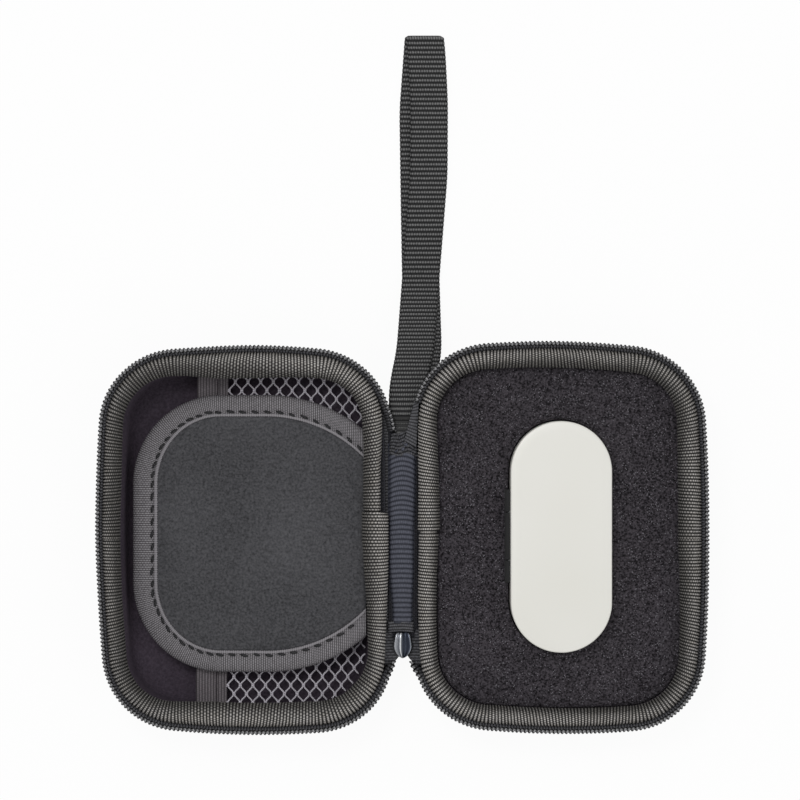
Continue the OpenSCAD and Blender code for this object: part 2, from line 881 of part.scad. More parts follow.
module box_lid() {
  color(pale)
    in_box()
      difference() {
        union() {
          difference() {
            box_part(0, box_seam + 0.1, box_h);
            box_part(box_wall, box_seam - 1, box_h);
            knuckle(-knuckle_half - 0.15, knuckle_half + 0.15, knuckle_r + 0.2);
          }
          lid_knuckles(knuckle_r, 0);
        }
        pin_hole();
      }
}

module box_hinge_pin() {
  color("silver")
    in_box()
      knuckle(-hinge_l / 2 + knuckle_gap, hinge_l / 2 - knuckle_gap, hinge_pin_r);
}

liner_t = 0.8;

module box_lid_liner() {
  color([0.75, 0.75, 0.74])
    in_box()
      difference() {
        box_part(box_wall, box_seam + 2.2, box_h);
        box_part(box_wall + liner_t, box_seam, box_h);
      }
}

cradle_t = 1.2;
cradle_gap = 0.15;
cradle_top = box_seam - 0.9;
well_wall = 0.8;
well_floor = 3.3;
socket_in = 0.6;
socket_gap = 0.175;
well_y = box_l / 2 - socket_in - socket_d - socket_gap - well_wall - well_r;
contact_x = 1.5;
board_side = 6.35;
board_end = 6.65;
board_w = box_w - 2 * board_side;
board_l = box_l - 2 * board_end;
battery_side = 4.85;
battery_end = 2.1;
battery_w = box_w - 2 * battery_side;
battery_l = 2 * (well_y - well_r - well_wall - battery_end);

module box_cradle() {
  color([0.2, 0.2, 0.21])
    in_box()
      difference() {
        union() {
          translate([0, 0, cradle_top - cradle_t])
            linear_extrude(cradle_t)
              stadium(box_w - 2 * box_wall - 2 * cradle_gap - 2 * knuckle_r - 0.2,
                      box_l - 2 * box_wall - 2 * cradle_gap);
          for (s = [-1, 1])
            translate([0, s * well_y, well_floor])
              cylinder(r = well_r + well_wall, h = cradle_top - well_floor);
        }
        for (s = [-1, 1]) {
          translate([0, s * well_y, well_floor + well_wall])
            cylinder(r = well_r, h = box_h);
          for (t = [-1, 1])
            translate([t * contact_x, s * well_y, 0])
              cylinder(r = contact_r + 0.05, h = box_h);
        }
      }
}

contact_r = 0.5;

module charge_contacts() {
  color("gold")
    in_box()
      for (s = [-1, 1], t = [-1, 1])
        translate([t * contact_x, s * well_y, board_z + board_t])
          cylinder(r = contact_r, h = well_floor + well_wall + 0.4 - board_z - board_t, $fn = 24);
}

module box_circuit_board() {
  color("darkgreen")
    in_box()
      translate([0, 0, board_z])
        linear_extrude(board_t)
          square([board_w, board_l], center = true);
}

module charge_socket() {
  color("silver")
    in_box()
      at_socket()
        translate([0, 0, socket_in])
          difference() {
            linear_extrude(socket_d)
              socket_plan(socket_w, socket_h);
            translate([0, 0, -1])
              linear_extrude(socket_d)
                socket_plan(socket_w - 0.8, socket_h - 0.8);
          }
}

module box_battery() {
  color("steelblue")
    in_box()
      translate([-battery_w / 2, -battery_l / 2, board_z + board_t])
        cube([battery_w, battery_l, cradle_top - cradle_t - board_z - board_t - 0.3]);
}

// Standing pads that carry the circuit board on the box's floor
module box_pads() {
  color([0.2, 0.2, 0.2])
    in_box()
      for (i = [-1, 1], j = [-1:1])
        translate([i * board_w / 3, j * board_l * 0.4, box_wall])
          cylinder(r = 1, h = board_z - box_wall);
}

base_cover();
base_shell();
base_lining();
base_piping();
base_zip_tape();
base_zip_coil();
foam_insert();
slot_pad();
lid_cover();
lid_shell();
lid_lining();
lid_piping();
lid_zip_tape();
lid_zip_coil();
mesh_net();
mesh_hem();
pocket_elastic();
flap_panel();
flap_binding();
flap_stitches();
spine_band();
spine_cover();
slider_body();
slider_bridge();
pull_tab();
wrist_strap();
strap_tack();
box_shell();
box_cradle();
box_battery();
box_circuit_board();
charge_contacts();
charge_socket();
box_lid();
box_lid_liner();
box_hinge_pin();
box_pads();
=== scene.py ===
"""A zipped hard case for earbuds, opened flat like a book, dressed over its CAD frame."""

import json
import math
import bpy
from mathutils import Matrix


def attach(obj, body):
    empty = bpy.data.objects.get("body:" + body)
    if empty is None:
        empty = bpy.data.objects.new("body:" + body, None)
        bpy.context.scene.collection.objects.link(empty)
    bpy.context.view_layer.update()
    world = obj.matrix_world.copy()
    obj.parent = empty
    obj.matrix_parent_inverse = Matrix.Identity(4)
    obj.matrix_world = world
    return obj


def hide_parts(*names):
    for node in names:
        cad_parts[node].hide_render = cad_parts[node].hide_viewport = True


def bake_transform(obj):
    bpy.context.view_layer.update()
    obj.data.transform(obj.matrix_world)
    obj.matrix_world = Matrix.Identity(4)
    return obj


bl_info = {
    "name": "Zipped Earbud Case",
    "version": (1, 0, 0),
    "blender": (4, 5, 0),
    "location": "View3D > Sidebar > Earbud Case",
    "description": "Builds the covers, zip, foam, pocket, flap, spine, strap and charging box of the case",
    "category": "Add Mesh",
}

import bmesh
import bpy
import numpy as np
from mathutils import Vector

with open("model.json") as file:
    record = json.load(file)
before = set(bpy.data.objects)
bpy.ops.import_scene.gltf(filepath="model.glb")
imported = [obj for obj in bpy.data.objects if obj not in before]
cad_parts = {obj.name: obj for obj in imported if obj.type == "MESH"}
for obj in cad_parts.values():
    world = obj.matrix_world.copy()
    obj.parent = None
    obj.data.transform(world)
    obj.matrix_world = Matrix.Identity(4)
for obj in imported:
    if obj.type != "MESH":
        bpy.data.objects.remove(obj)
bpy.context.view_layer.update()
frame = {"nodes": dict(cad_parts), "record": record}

MM = 0.001
TAU = 2 * math.pi
# Points closer than the first are merged, and edges shorter than the second dissolved, in metres
MERGE, SLIVER = 2e-6, 1e-7

# The frame's own sizes, in millimetres. The base half's middle is the origin, and u is a distance inside the
# outline. Here: half the width and length of each half, its height, and its corner, side and end radii
HALF_W, HALF_L, HALF_H = 40.8, 53.2, 25.0
CORNER_R, SIDE_R, END_R = 21.5, 450.0, 250.0
# The spine's middle line, and how far from it each half starts
SPINE_X, SPINE_GAP = -43.15, 2.35
# The walls: how they lean, the fillet round the floor, where the top lies, the thickness and the upper edge
DRAFT = math.tan(math.radians(4))
FLOOR_R, WALL_U, WALL_T, EDGE_Z = 9.0, 2.3, 3.9, 20.8
# The binding's roll: the line on which its ribs are spaced, its middle and its height
ROLL_U, ROLL_MID, ROLL_Z = 5.8, 4.7, 21.6
# The middle line of the zip's teeth
COIL_U, COIL_Z = 0.82, 23.8
# The spine's ribbed band: its height, the distance between its ribs and half its width
BAND_TOP, BAND_PITCH, BAND_HW = 20.4, 1.34, 4.2
# The charging box: its middle, its underside, its height, its end radius, half its straight and its seam
BOX_Y, BOX_Z, BOX_H = 0.8, 5.4, 22.0
BOX_R, BOX_S, SEAM = 13.85, 17.8, 14.2
FOAM_TOP = 18.5

# The middle of the slider's map. Pieces of its finish without a map read 0 and keep its first tone
SLIDER_MAP = 10
HALVES = ("base", "lid")
UP = np.array([0, 0, 1.0])


# Arrays of points, and the meshes made of them


def smooth(t):
    """Rises from 0 to 1 as t does, level at both ends."""
    t = np.clip(t, 0, 1)
    return t * t * (3 - 2 * t)


def corner_centre():
    """Where the arcs round the bows' centres, each shortened by the corner radius, cross."""
    side, end = np.array([HALF_W - SIDE_R, 0]), np.array([0, HALF_L - END_R])
    gap = np.linalg.norm(end - side)
    along = (end - side) / gap
    a, b = SIDE_R - CORNER_R, END_R - CORNER_R
    d = (a * a - b * b + gap * gap) / (2 * gap)
    return side + d * along + math.sqrt(a * a - d * d) * np.array([-along[1], along[0]])


CORNER = corner_centre()
A_SIDE = math.atan2(CORNER[1], CORNER[0] - HALF_W + SIDE_R)
A_END = math.atan2(CORNER[1] - HALF_L + END_R, CORNER[0])
SIDE_C, END_C = HALF_W - SIDE_R, HALF_L - END_R
# The outline's arcs from the middle of the far side, anticlockwise: centre, radius, first angle, sweep
ARCS = np.array([
    (SIDE_C, 0, SIDE_R, 0, A_SIDE),
    (CORNER[0], CORNER[1], CORNER_R, A_SIDE, A_END - A_SIDE),
    (0, END_C, END_R, A_END, math.pi - 2 * A_END),
    (-CORNER[0], CORNER[1], CORNER_R, math.pi - A_END, A_END - A_SIDE),
    (-SIDE_C, 0, SIDE_R, math.pi - A_SIDE, 2 * A_SIDE),
    (-CORNER[0], -CORNER[1], CORNER_R, math.pi + A_SIDE, A_END - A_SIDE),
    (0, -END_C, END_R, math.pi + A_END, math.pi - 2 * A_END),
    (CORNER[0], -CORNER[1], CORNER_R, TAU - A_END, A_END - A_SIDE),
    (SIDE_C, 0, SIDE_R, -A_SIDE, A_SIDE),
])
ARC_ENDS = np.cumsum(ARCS[:, 2] * ARCS[:, 4])
ROUND = ARC_ENDS[-1]


def arc_at(s):
    """The centre, radius and angle of the outline's arc at each distance s along it."""
    s = np.mod(s, ROUND)
    k = np.minimum(np.searchsorted(ARC_ENDS, s, side="right"), len(ARCS) - 1)
    x, y, r, start, sweep = (ARCS[k, i] for i in range(5))
    return x, y, r, start + sweep + (s - ARC_ENDS[k]) / r


# The bow grows from nothing at the first height to its full size at the second
SLACK_Z = (3, 16)
# How far each soft rim bows out of the frame's outline, by the share of the way round it, in millimetres
SLACK = {
    "base": ((0, 0), (0.10, 0.3), (0.15, 0.5), (0.20, 0.9), (0.26, 1.4), (0.31, 1.5), (0.36, 2.1),
             (0.40, 1.7), (0.43, 0.9), (0.46, 0.2), (0.5, 0), (0.55, 0.4), (0.60, 1.0), (0.64, 0.6),
             (0.68, 0.1), (0.78, 0.3), (0.88, 0.2), (1, 0)),
    "lid": ((0, 0.7), (0.04, 0.7), (0.11, 0.9), (0.15, 0.3), (0.20, -0.1), (0.26, 0.3), (0.33, 0),
            (0.39, 0.4), (0.42, 0.6), (0.46, 0.1), (0.5, 0), (0.55, 0.2), (0.60, 0.8), (0.64, 1.2),
            (0.68, 0.8), (0.75, 0.5), (0.82, 0.1), (0.9, 0), (0.96, 0.3), (1, 0.7)),
}


def rim_slack(s, half):
    """The rim's bow at distances s along the outline, with its corners eased."""
    share, out = np.array(SLACK[half]).T
    around = np.linspace(-0.02, 0.02, 9)
    return np.mean([np.interp(np.mod(np.asarray(s, float) / ROUND + d, 1), share, out) for d in around], 0)


def rim_points(s, u, z, half):
    """Points at distances s along the outline, u inside it and z up. The lid mirrors the base."""
    cx, cy, r, a = arc_at(np.asarray(s, float))
    low, high = SLACK_Z
    reach = r - u + rim_slack(s, half) * smooth((np.asarray(z, float) - low) / (high - low))
    x, y = cx + reach * np.cos(a), cy + reach * np.sin(a)
    if half == "lid":
        x = 2 * SPINE_X - x
    return np.stack(np.broadcast_arrays(x, y, z), -1)


def spaced(u, pitch, per, s_from=0.0, s_to=ROUND):
    """Distances along the outline, per of them to each pitch of the line u inside it, and that line's run."""
    fine = 6000
    s = np.linspace(s_from, s_to, fine)
    r = arc_at((s[1:] + s[:-1]) / 2)[2]
    line = np.concatenate([[0], np.cumsum(np.diff(s) * (r - u) / r)])
    count = round(line[-1] / pitch) * per
    t = np.linspace(0, line[-1], count + 1)
    return np.interp(t, line, s), t


def wall_in(z):
    """How far the wall's outer face lies inside the outline at height z."""
    return WALL_U + (HALF_H - z) * DRAFT


def wall_section(t, top):
    """The wall's section, t inside its outer face, from the floor round the fillet up to top: u and z."""
    a = np.linspace(-math.pi / 2, -math.atan(DRAFT), 10)
    c = wall_in(FLOOR_R) + FLOOR_R * math.hypot(1, DRAFT)
    u, z = c - (FLOOR_R - t) * np.cos(a), FLOOR_R + (FLOOR_R - t) * np.sin(a)
    rise = np.linspace(z[-1], top, 8)[1:]
    return (np.concatenate([u, wall_in(rise) + t * math.hypot(1, DRAFT)]), np.concatenate([z, rise]))


def lengths(points):
    """The distance run along a row of points."""
    steps = np.linalg.norm(np.diff(points, axis=0), axis=1)
    return np.concatenate([[0], np.cumsum(steps)])


def girth(u, z):
    """The distance run round a closed section, back to its first point."""
    return lengths(np.stack([np.append(u, u[0]), np.append(z, z[0])], 1))


def there_and_back(across, turn, whole):
    """A map over a face and back over its underside, which starts at turn and closes at whole."""
    return np.concatenate([across, turn - across[::-1], [whole]])


def rounded(x, power, root=0.5):
    """1 in the middle of -1 to 1, falling to 0 at both ends: the higher the power, the squarer."""
    return np.clip(1 - np.abs(x) ** power, 0, 1) ** root


def patch(points, loop_u=False, loop_v=False, uv=None):
    """Quads over a grid of points, joined round where a direction loops.

    The map takes its values along the two directions from uv and counts the points without it. With "flat" it
    takes the points' own x and y."""
    n, m = points.shape[:2]
    i = np.arange(n if loop_u else n - 1)[:, None]
    j = np.arange(m if loop_v else m - 1)[None, :]
    i2, j2 = (i + 1) % n, (j + 1) % m
    quads = np.stack(np.broadcast_arrays(i * m + j, i2 * m + j, i2 * m + j2, i * m + j2), -1)
    verts, quads = points.reshape(-1, 3), quads.reshape(-1, 4)
    if isinstance(uv, str):
        return verts, quads, verts[quads, :2].reshape(-1, 2)
    us, vs = (np.arange(n + 1.0), np.arange(m + 1.0)) if uv is None else (np.asarray(k, float) for k in uv)
    corners = [(us[i], vs[j]), (us[i + 1], vs[j]), (us[i + 1], vs[j + 1]), (us[i], vs[j + 1])]
    uvs = np.stack([np.stack(np.broadcast_arrays(*c), -1) for c in corners], -2)
    return verts, quads, uvs.reshape(-1, 2)


def drawn_in(ring, rows=1):
    """Rows that draw a closed ring of points in to its middle, as a lid over it."""
    middle = ring.mean(0)
    f = np.linspace(1, 0, rows + 1)[:, None, None]
    return middle + f * (ring - middle)


def slab(x, y, top, under):
    """Sections of a slab over a grid: along its face at height top and back along that at height under."""
    over, below = (np.stack(np.broadcast_arrays(x, y, z), -1) for z in (top, under))
    return np.concatenate([over, below[:, ::-1]], 1)


def at_height(places, z):
    """Places of a plan, as points at one height."""
    return np.concatenate([places, np.full((len(places), 1), z)], 1)


def capped(rows, along=None, across=None):
    """A surface through rows that are closed sections, mapped along and across, with its two ends closed."""
    uv = None if along is None else (along, across)
    return [patch(rows, loop_v=True, uv=uv), patch(drawn_in(rows[0]), loop_v=True),
            patch(drawn_in(rows[-1]), loop_v=True)]


def tube(path, across, radius, sides=8):
    """A round tube along a path; across is a direction that its section's first axis leans to."""
    t = np.gradient(path, axis=0)
    t /= np.linalg.norm(t, axis=1)[:, None]
    b = np.cross(t, np.broadcast_to(across, t.shape))
    b /= np.linalg.norm(b, axis=1)[:, None]
    c = np.cross(b, t)
    a = np.arange(sides) * TAU / sides
    r = np.broadcast_to(np.asarray(radius, float), (len(path),))[:, None, None]
    return path[:, None] + r * (np.cos(a)[:, None] * c[:, None] + np.sin(a)[:, None] * b[:, None])


def capped_tube(path, across, radius, sides=8):
    """A tube with its two ends closed, as patches."""
    return capped(tube(path, across, radius, sides), lengths(path), np.arange(sides + 1.0))


# Every finish by the name of its slot, filled by the finishes operator
FINISHES = {}


def build(name, patches, body, slot, stands_for=(), blend=None):
    """Joins patches into one piece, merges what meets, turns its faces outwards and sets it on its body.

    A blended piece is left unattached with its transform baked in; the second body and places it names are
    not used."""
    verts, quads, uvs, start = [], [], [], 0
    for points, faces, uv in patches:
        verts.append(points)
        quads.append(faces + start)
        uvs.append(uv)
        start += len(points)
    mesh = bpy.data.meshes.new(name)
    mesh.from_pydata((np.concatenate(verts) * MM).tolist(), [], np.concatenate(quads).tolist())
    mesh.uv_layers.new(name="UVMap").data.foreach_set("uv", np.concatenate(uvs).ravel())
    work = bmesh.new()
    work.from_mesh(mesh)
    bmesh.ops.remove_doubles(work, verts=work.verts, dist=MERGE)
    bmesh.ops.dissolve_degenerate(work, edges=work.edges, dist=SLIVER)
    bmesh.ops.recalc_face_normals(work, faces=work.faces)
    work.to_mesh(mesh)
    work.free()
    mesh.shade_smooth()
    mesh.materials.append(FINISHES[slot])
    piece = bpy.data.objects.new(name, mesh)
    bpy.context.scene.collection.objects.link(piece)
    if blend:
        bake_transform(piece)
    else:
        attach(piece, body)
    if stands_for:
        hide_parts(*stands_for)
    return piece


# Materials


def hex_colour(code):
    """An sRGB hex colour as linear red, green, blue and alpha."""
    parts = [int(code[i:i + 2], 16) / 255 for i in (0, 2, 4)]
    return tuple(c / 12.92 if c <= 0.04045 else ((c + 0.055) / 1.055) ** 2.4 for c in parts) + (1.0,)


def hex_or_linear(colour):
    """A colour given as a hex code or as three linear values, as red, green, blue and alpha."""
    return hex_colour(colour) if isinstance(colour, str) else (*colour, 1.0)


def add(tree, kind, *values, **settings):
    """Adds a node, sets it, and fills its inputs: a node or a socket is linked, anything else is a value.

    The kind is a type of node, with a table of its inputs, or a step of arithmetic, with its values."""
    arithmetic = not kind.startswith("ShaderNode")
    node = tree.nodes.new("ShaderNodeMath" if arithmetic else kind)
    if arithmetic:
        node.operation = kind
        inputs = dict(enumerate(values))
    else:
        inputs = values[0] if values else {}
    for key, value in settings.items():
        setattr(node, key, value)
    for key, value in inputs.items():
        if isinstance(value, bpy.types.Node):
            value = value.outputs[0]
        if isinstance(value, bpy.types.NodeSocket):
            tree.links.new(value, node.inputs[key])
        else:
            node.inputs[key].default_value = value
    return node


def new_material(name, colour, roughness, **sockets):
    """A material with one Principled shader; returns it, its tree and the shader."""
    material = bpy.data.materials.new(name)
    material.use_nodes = True
    tree = material.node_tree
    shader = tree.nodes["Principled BSDF"]
    shader.inputs["Base Color"].default_value = hex_or_linear(colour)
    shader.inputs["Roughness"].default_value = roughness
    for key, value in sockets.items():
        shader.inputs[key.replace("_", " ")].default_value = value
    return material, tree, shader


def map_axes(tree):
    """The two axes of the piece's own map, in millimetres."""
    own_map = add(tree, "ShaderNodeUVMap", uv_map="UVMap").outputs["UV"]
    split = add(tree, "ShaderNodeSeparateXYZ", {0: own_map})
    return split.outputs["X"], split.outputs["Y"]


def place_x(tree):
    """How far right on the object, in metres."""
    return add(tree, "ShaderNodeSeparateXYZ", {0: object_place(tree)}).outputs["X"]


def object_place(tree):
    """The place on the object, in metres."""
    return add(tree, "ShaderNodeTexCoord").outputs["Object"]


def ridges(tree, along, pitch, offset=0.0):
    """Round ridges, one to each pitch: the size of a sine, 1 on each crest and 0 in each groove."""
    turned = add(tree, "MULTIPLY_ADD", along, math.pi / pitch, offset)
    return add(tree, "ABSOLUTE", add(tree, "SINE", turned))


def speckle(tree, grain, detail=2.0):
    """Noise whose grains are about grain millimetres across."""
    noise = add(tree, "ShaderNodeTexNoise", {"Vector": object_place(tree), "Scale": 0.5 / (grain * MM),
                                             "Detail": detail, "Roughness": 0.6})
    return noise.outputs["Fac"]


def ramp(tree, value, stops):
    """Colours along a value; each stop is its place and its hex colour."""
    node = add(tree, "ShaderNodeValToRGB", {0: value})
    band = node.color_ramp
    while len(band.elements) < len(stops):
        band.elements.new(0.5)
    for element, (place, code) in zip(band.elements, stops):
        element.position = place
        element.color = hex_or_linear(code)
    return node.outputs["Color"]


def relief(tree, shader, height, depth):
    """Turns a height of 0 to 1 into bumps of that depth in millimetres."""
    bump = add(tree, "ShaderNodeBump", {"Height": height, "Distance": depth * MM, "Strength": 1.0})
    tree.links.new(bump.outputs["Normal"], shader.inputs["Normal"])


def colour_from(tree, shader, colour):
    """Takes the shader's colour from a socket."""
    tree.links.new(colour, shader.inputs["Base Color"])


def roughness_from(tree, shader, value, span, least):
    """Lets the roughness rise with a value of 0 to 1, by span from the least."""
    tree.links.new(add(tree, "MULTIPLY_ADD", value, span, least).outputs[0], shader.inputs["Roughness"])


def clamped(node):
    """Keeps an arithmetic node's result from 0 to 1."""
    node.use_clamp = True
    return node


def woven_nylon(name, dark, light):
    """Coarse nylon in a plain weave, as cut for hard cases: threads over and under, with a dull sheen."""
    material, tree, shader = new_material(name, dark, 0.72, Specular_IOR_Level=0.2)
    thread = 0.55
    u, v = map_axes(tree)
    warp, weft = ridges(tree, u, thread), ridges(tree, v, thread)
    turns = [add(tree, "SINE", add(tree, "MULTIPLY", axis, math.pi / thread)) for axis in (u, v)]
    check = add(tree, "SIGN", add(tree, "MULTIPLY", *turns))
    over = add(tree, "MULTIPLY_ADD", check, 0.5, 0.5)
    thread_h = add(tree, "ShaderNodeMix", {0: over, 2: warp, 3: weft})
    uneven = add(tree, "MULTIPLY_ADD", speckle(tree, 0.25), 0.5, 0.75)
    height = add(tree, "MULTIPLY", thread_h, uneven)
    colour_from(tree, shader, ramp(tree, height, [(0.1, dark), (0.9, light)]))
    relief(tree, shader, height, 0.16)
    return material


# How far from the spine the tapes' painted shade starts to deepen, and over what distance, in millimetres
SHADE_FROM_SPINE, SHADE_SPREAD = 46, 34


def ribbed_tape(name, dark, light, pitch, yarn=0.5, depth=0.12, warm=None, flank=None, far_shade=1.0, lip=None,
                even=0.25, sharp=1.6, turned=False):
    """Grosgrain of spun polyester: each rib is a row of short floats, lighter on its crest.

    Pitch is from rib to rib and yarn from float to float. Even is how light the gaps between floats stay, and
    sharp how narrow a crest is. Warm is a second colour of the crests. Flank gives where across the tape its
    far side falls into painted shade and how far it darkens, far_shade how far painted shade darkens the
    tape away from the spine, and lip where across it a highlight is painted along the folded selvedge."""
    material, tree, shader = new_material(name, dark, 0.62, Specular_IOR_Level=0.2)
    u, v = map_axes(tree)
    if turned:
        u, v = v, u
    rib = ridges(tree, u, pitch)
    which = add(tree, "FLOOR", add(tree, "DIVIDE", u, pitch))
    floats = ridges(tree, v, yarn, add(tree, "MULTIPLY", which, 0.5 * math.pi))
    uneven = add(tree, "MULTIPLY_ADD", speckle(tree, 0.35, 3.0), 1.8, 0.1)
    grain = add(tree, "MULTIPLY_ADD", add(tree, "POWER", floats, 1.4), 1 - even, even)
    body = add(tree, "MULTIPLY", add(tree, "POWER", rib, sharp), grain)
    value = add(tree, "MULTIPLY", body, uneven)
    lit = value
    # Painted highlight: a light line along the tape where its folded selvedge would catch the lamp
    if lip:
        highlight_half_width, highlight_gain = 0.32, 0.45
        on_highlight = add(tree, "COMPARE", v, lip, highlight_half_width)
        lit = add(tree, "MULTIPLY_ADD", on_highlight, highlight_gain, lit)
    if flank:
        shade_from, shade_full, shade = flank
        wide = 1 / (shade_full - shade_from)
        lidward = clamped(add(tree, "MULTIPLY_ADD", place_x(tree), -1 / (SHADE_SPREAD * MM),
                              (SPINE_X - SHADE_FROM_SPINE) / SHADE_SPREAD))
        wander = add(tree, "MULTIPLY_ADD", speckle(tree, 16.0, 1.0), 4.0, -2.0)
        wander = add(tree, "MULTIPLY_ADD", lidward, 1.7, wander)
        share = clamped(add(tree, "MULTIPLY_ADD", add(tree, "ADD", v, wander), wide, -shade_from * wide))
        lit = add(tree, "MULTIPLY", value, add(tree, "MULTIPLY_ADD", share, shade - 1, 1))
    # Painted shade: the tape darkens with its distance from the spine
    if far_shade < 1:
        off = add(tree, "ABSOLUTE", add(tree, "SUBTRACT", place_x(tree), SPINE_X * MM))
        far = clamped(add(tree, "MULTIPLY_ADD", off, 1 / (SHADE_SPREAD * MM), -SHADE_FROM_SPINE / SHADE_SPREAD))
        lit = add(tree, "MULTIPLY", lit, add(tree, "MULTIPLY_ADD", far, far_shade - 1, 1))
    crest = hex_or_linear(light)
    if warm:
        tint = add(tree, "MULTIPLY", speckle(tree, 2.2), speckle(tree, 0.8))
        warmth = add(tree, "MULTIPLY", tint, 1.1)
        crest = add(tree, "ShaderNodeMix", {0: warmth, 6: crest, 7: hex_colour(warm)}, data_type="RGBA")
        crest = crest.outputs[2]
    share = clamped(add(tree, "MULTIPLY", lit, 1.2))
    mix = add(tree, "ShaderNodeMix", {0: share, 6: hex_or_linear(dark), 7: crest}, data_type="RGBA")
    colour_from(tree, shader, mix.outputs[2])
    relief(tree, shader, value, depth)
    return material


def plain_fabric(name, dark, light, grain, depth):
    """Brushed or fine woven fabric: grains of thread with no direction that the eye can follow."""
    material, tree, shader = new_material(name, dark, 0.85, Specular_IOR_Level=0.15)
    fine, cloud = speckle(tree, grain, 3.0), speckle(tree, 14.0, 1.0)
    value = add(tree, "ADD", add(tree, "MULTIPLY", fine, 0.75), add(tree, "MULTIPLY", cloud, 0.25))
    colour_from(tree, shader, ramp(tree, value, [(0.3, dark), (0.7, light)]))
    relief(tree, shader, fine, depth)
    return material


def fine_cell_foam(name, dark, light, fleck):
    """Skived polyurethane foam: open cells cut through, so that a few walls catch the light as flecks."""
    material, tree, shader = new_material(name, dark, 0.9, Specular_IOR_Level=0.15)
    grain, cloud = speckle(tree, 0.26, 2.0), speckle(tree, 9.0, 2.0)
    cell = 0.6
    voronoi = add(tree, "ShaderNodeTexVoronoi", {"Vector": object_place(tree), "Scale": 1 / (cell * MM)})
    cells = voronoi.outputs["Distance"]
    value = add(tree, "ADD", add(tree, "MULTIPLY", grain, 0.9), add(tree, "MULTIPLY", cloud, 0.1))
    base = ramp(tree, value, [(0.36, dark), (0.64, light)])
    bright = add(tree, "LESS_THAN", cells, 0.24)
    lit = add(tree, "MULTIPLY", bright, add(tree, "GREATER_THAN", speckle(tree, 1.1), 0.5))
    amount = add(tree, "MULTIPLY", lit, 0.6)
    mix = add(tree, "ShaderNodeMix", {0: amount, 6: base, 7: hex_colour(fleck)}, data_type="RGBA")
    colour_from(tree, shader, mix.outputs[2])
    relief(tree, shader, add(tree, "ADD", grain, add(tree, "MULTIPLY", cells, 0.6)), 0.22)
    return material


def twisted_thread(name, dark, light):
    """Sewing and netting thread: plies twisted round each other, seen as slanting stripes along the map."""
    material, tree, shader = new_material(name, light, 0.5, Specular_IOR_Level=0.25)
    twist = 0.5
    u, v = map_axes(tree)
    ply = ridges(tree, add(tree, "ADD", u, add(tree, "MULTIPLY", v, twist / 4)), twist)
    colour_from(tree, shader, ramp(tree, ply, [(0.1, dark), (0.8, light)]))
    relief(tree, shader, ply, 0.06)
    return material


def nylon_coil(name, colour, glint_colour):
    """Extruded nylon thread: black and smooth, with a pale highlight painted at the top of every turn."""
    material, tree, shader = new_material(name, colour, 0.3, Specular_IOR_Level=0.3)
    turn = map_axes(tree)[0]
    # Painted glint: the top of every turn is coloured pale, its reach varied by a noise that also varies the
    # gloss
    top = ridges(tree, turn, 1.0, math.pi / 4)
    waver = speckle(tree, 0.4, 2.0)
    painted_glint = add(tree, "MULTIPLY", top, add(tree, "MULTIPLY_ADD", waver, 0.1, 0.95))
    colour_from(tree, shader, ramp(tree, painted_glint, [(0.93, colour), (0.99, glint_colour)]))
    roughness_from(tree, shader, waver, 0.12, 0.24)
    relief(tree, shader, waver, 0.01)
    return material


def plated_metal(name, colour, roughness, across=None):
    """Cast or drawn metal under a plating: half gloss, rubbed a little lighter on its edges.

    Across gives stops of painted light instead, from one of its sides to the other: highlights and shade."""
    material, tree, shader = new_material(name, colour, roughness, Metallic=1.0)
    cast = speckle(tree, 0.8, 3.0)
    # With across, the stops paint highlights and shade across the plate
    if across:
        value = add(tree, "MULTIPLY_ADD", map_axes(tree)[1], 0.5, 0.5 - 0.5 * SLIDER_MAP)
    else:
        sharpness = add(tree, "ShaderNodeNewGeometry").outputs["Pointiness"]
        edge = add(tree, "MULTIPLY", add(tree, "SUBTRACT", sharpness, 0.5), 6.0)
        value = add(tree, "ADD", add(tree, "MULTIPLY", cast, 0.5), add(tree, "MAXIMUM", edge, 0.0))
    colour_from(tree, shader, ramp(tree, value, across or [(0.15, colour), (0.9, "B4B4B6")]))
    roughness_from(tree, shader, cast, 0.2, roughness - 0.1)
    relief(tree, shader, cast, 0.03)
    return material


def moulded_plastic(name, colour, roughness, grain=0.0, coat=0.0, shade=None):
    """Injection-moulded ABS: a faint flow in the colour, and a fine etched grain where the mould had one."""
    material, tree, shader = new_material(name, colour, roughness, IOR=1.54, Coat_Weight=coat,
                                          Coat_Roughness=0.2)
    flow = speckle(tree, 16.0, 1.0)
    colour_from(tree, shader, ramp(tree, flow, [(0.25, shade or colour), (0.75, colour)]))
    relief(tree, shader, speckle(tree, 0.25, 2.0), 0.012 + grain)
    return material


# Painted highlights and shade across the slider's upper plate: its rim, the left lobe, the ridge and the
# right lobe
SLIDER_PAINTED_LIGHT = [(0.0, "54565A"), (0.02, "A8AAAE"), (0.07, "94969A"), (0.15, "76787C"), (0.33, "484A50"),
                (0.37, "B4B6B8"), (0.40, "A4A6A8"), (0.42, "5A5C60"), (0.48, "30343C"), (0.85, "2A2E38"),
                (0.93, "888C92"), (0.99, "5A5C60")]


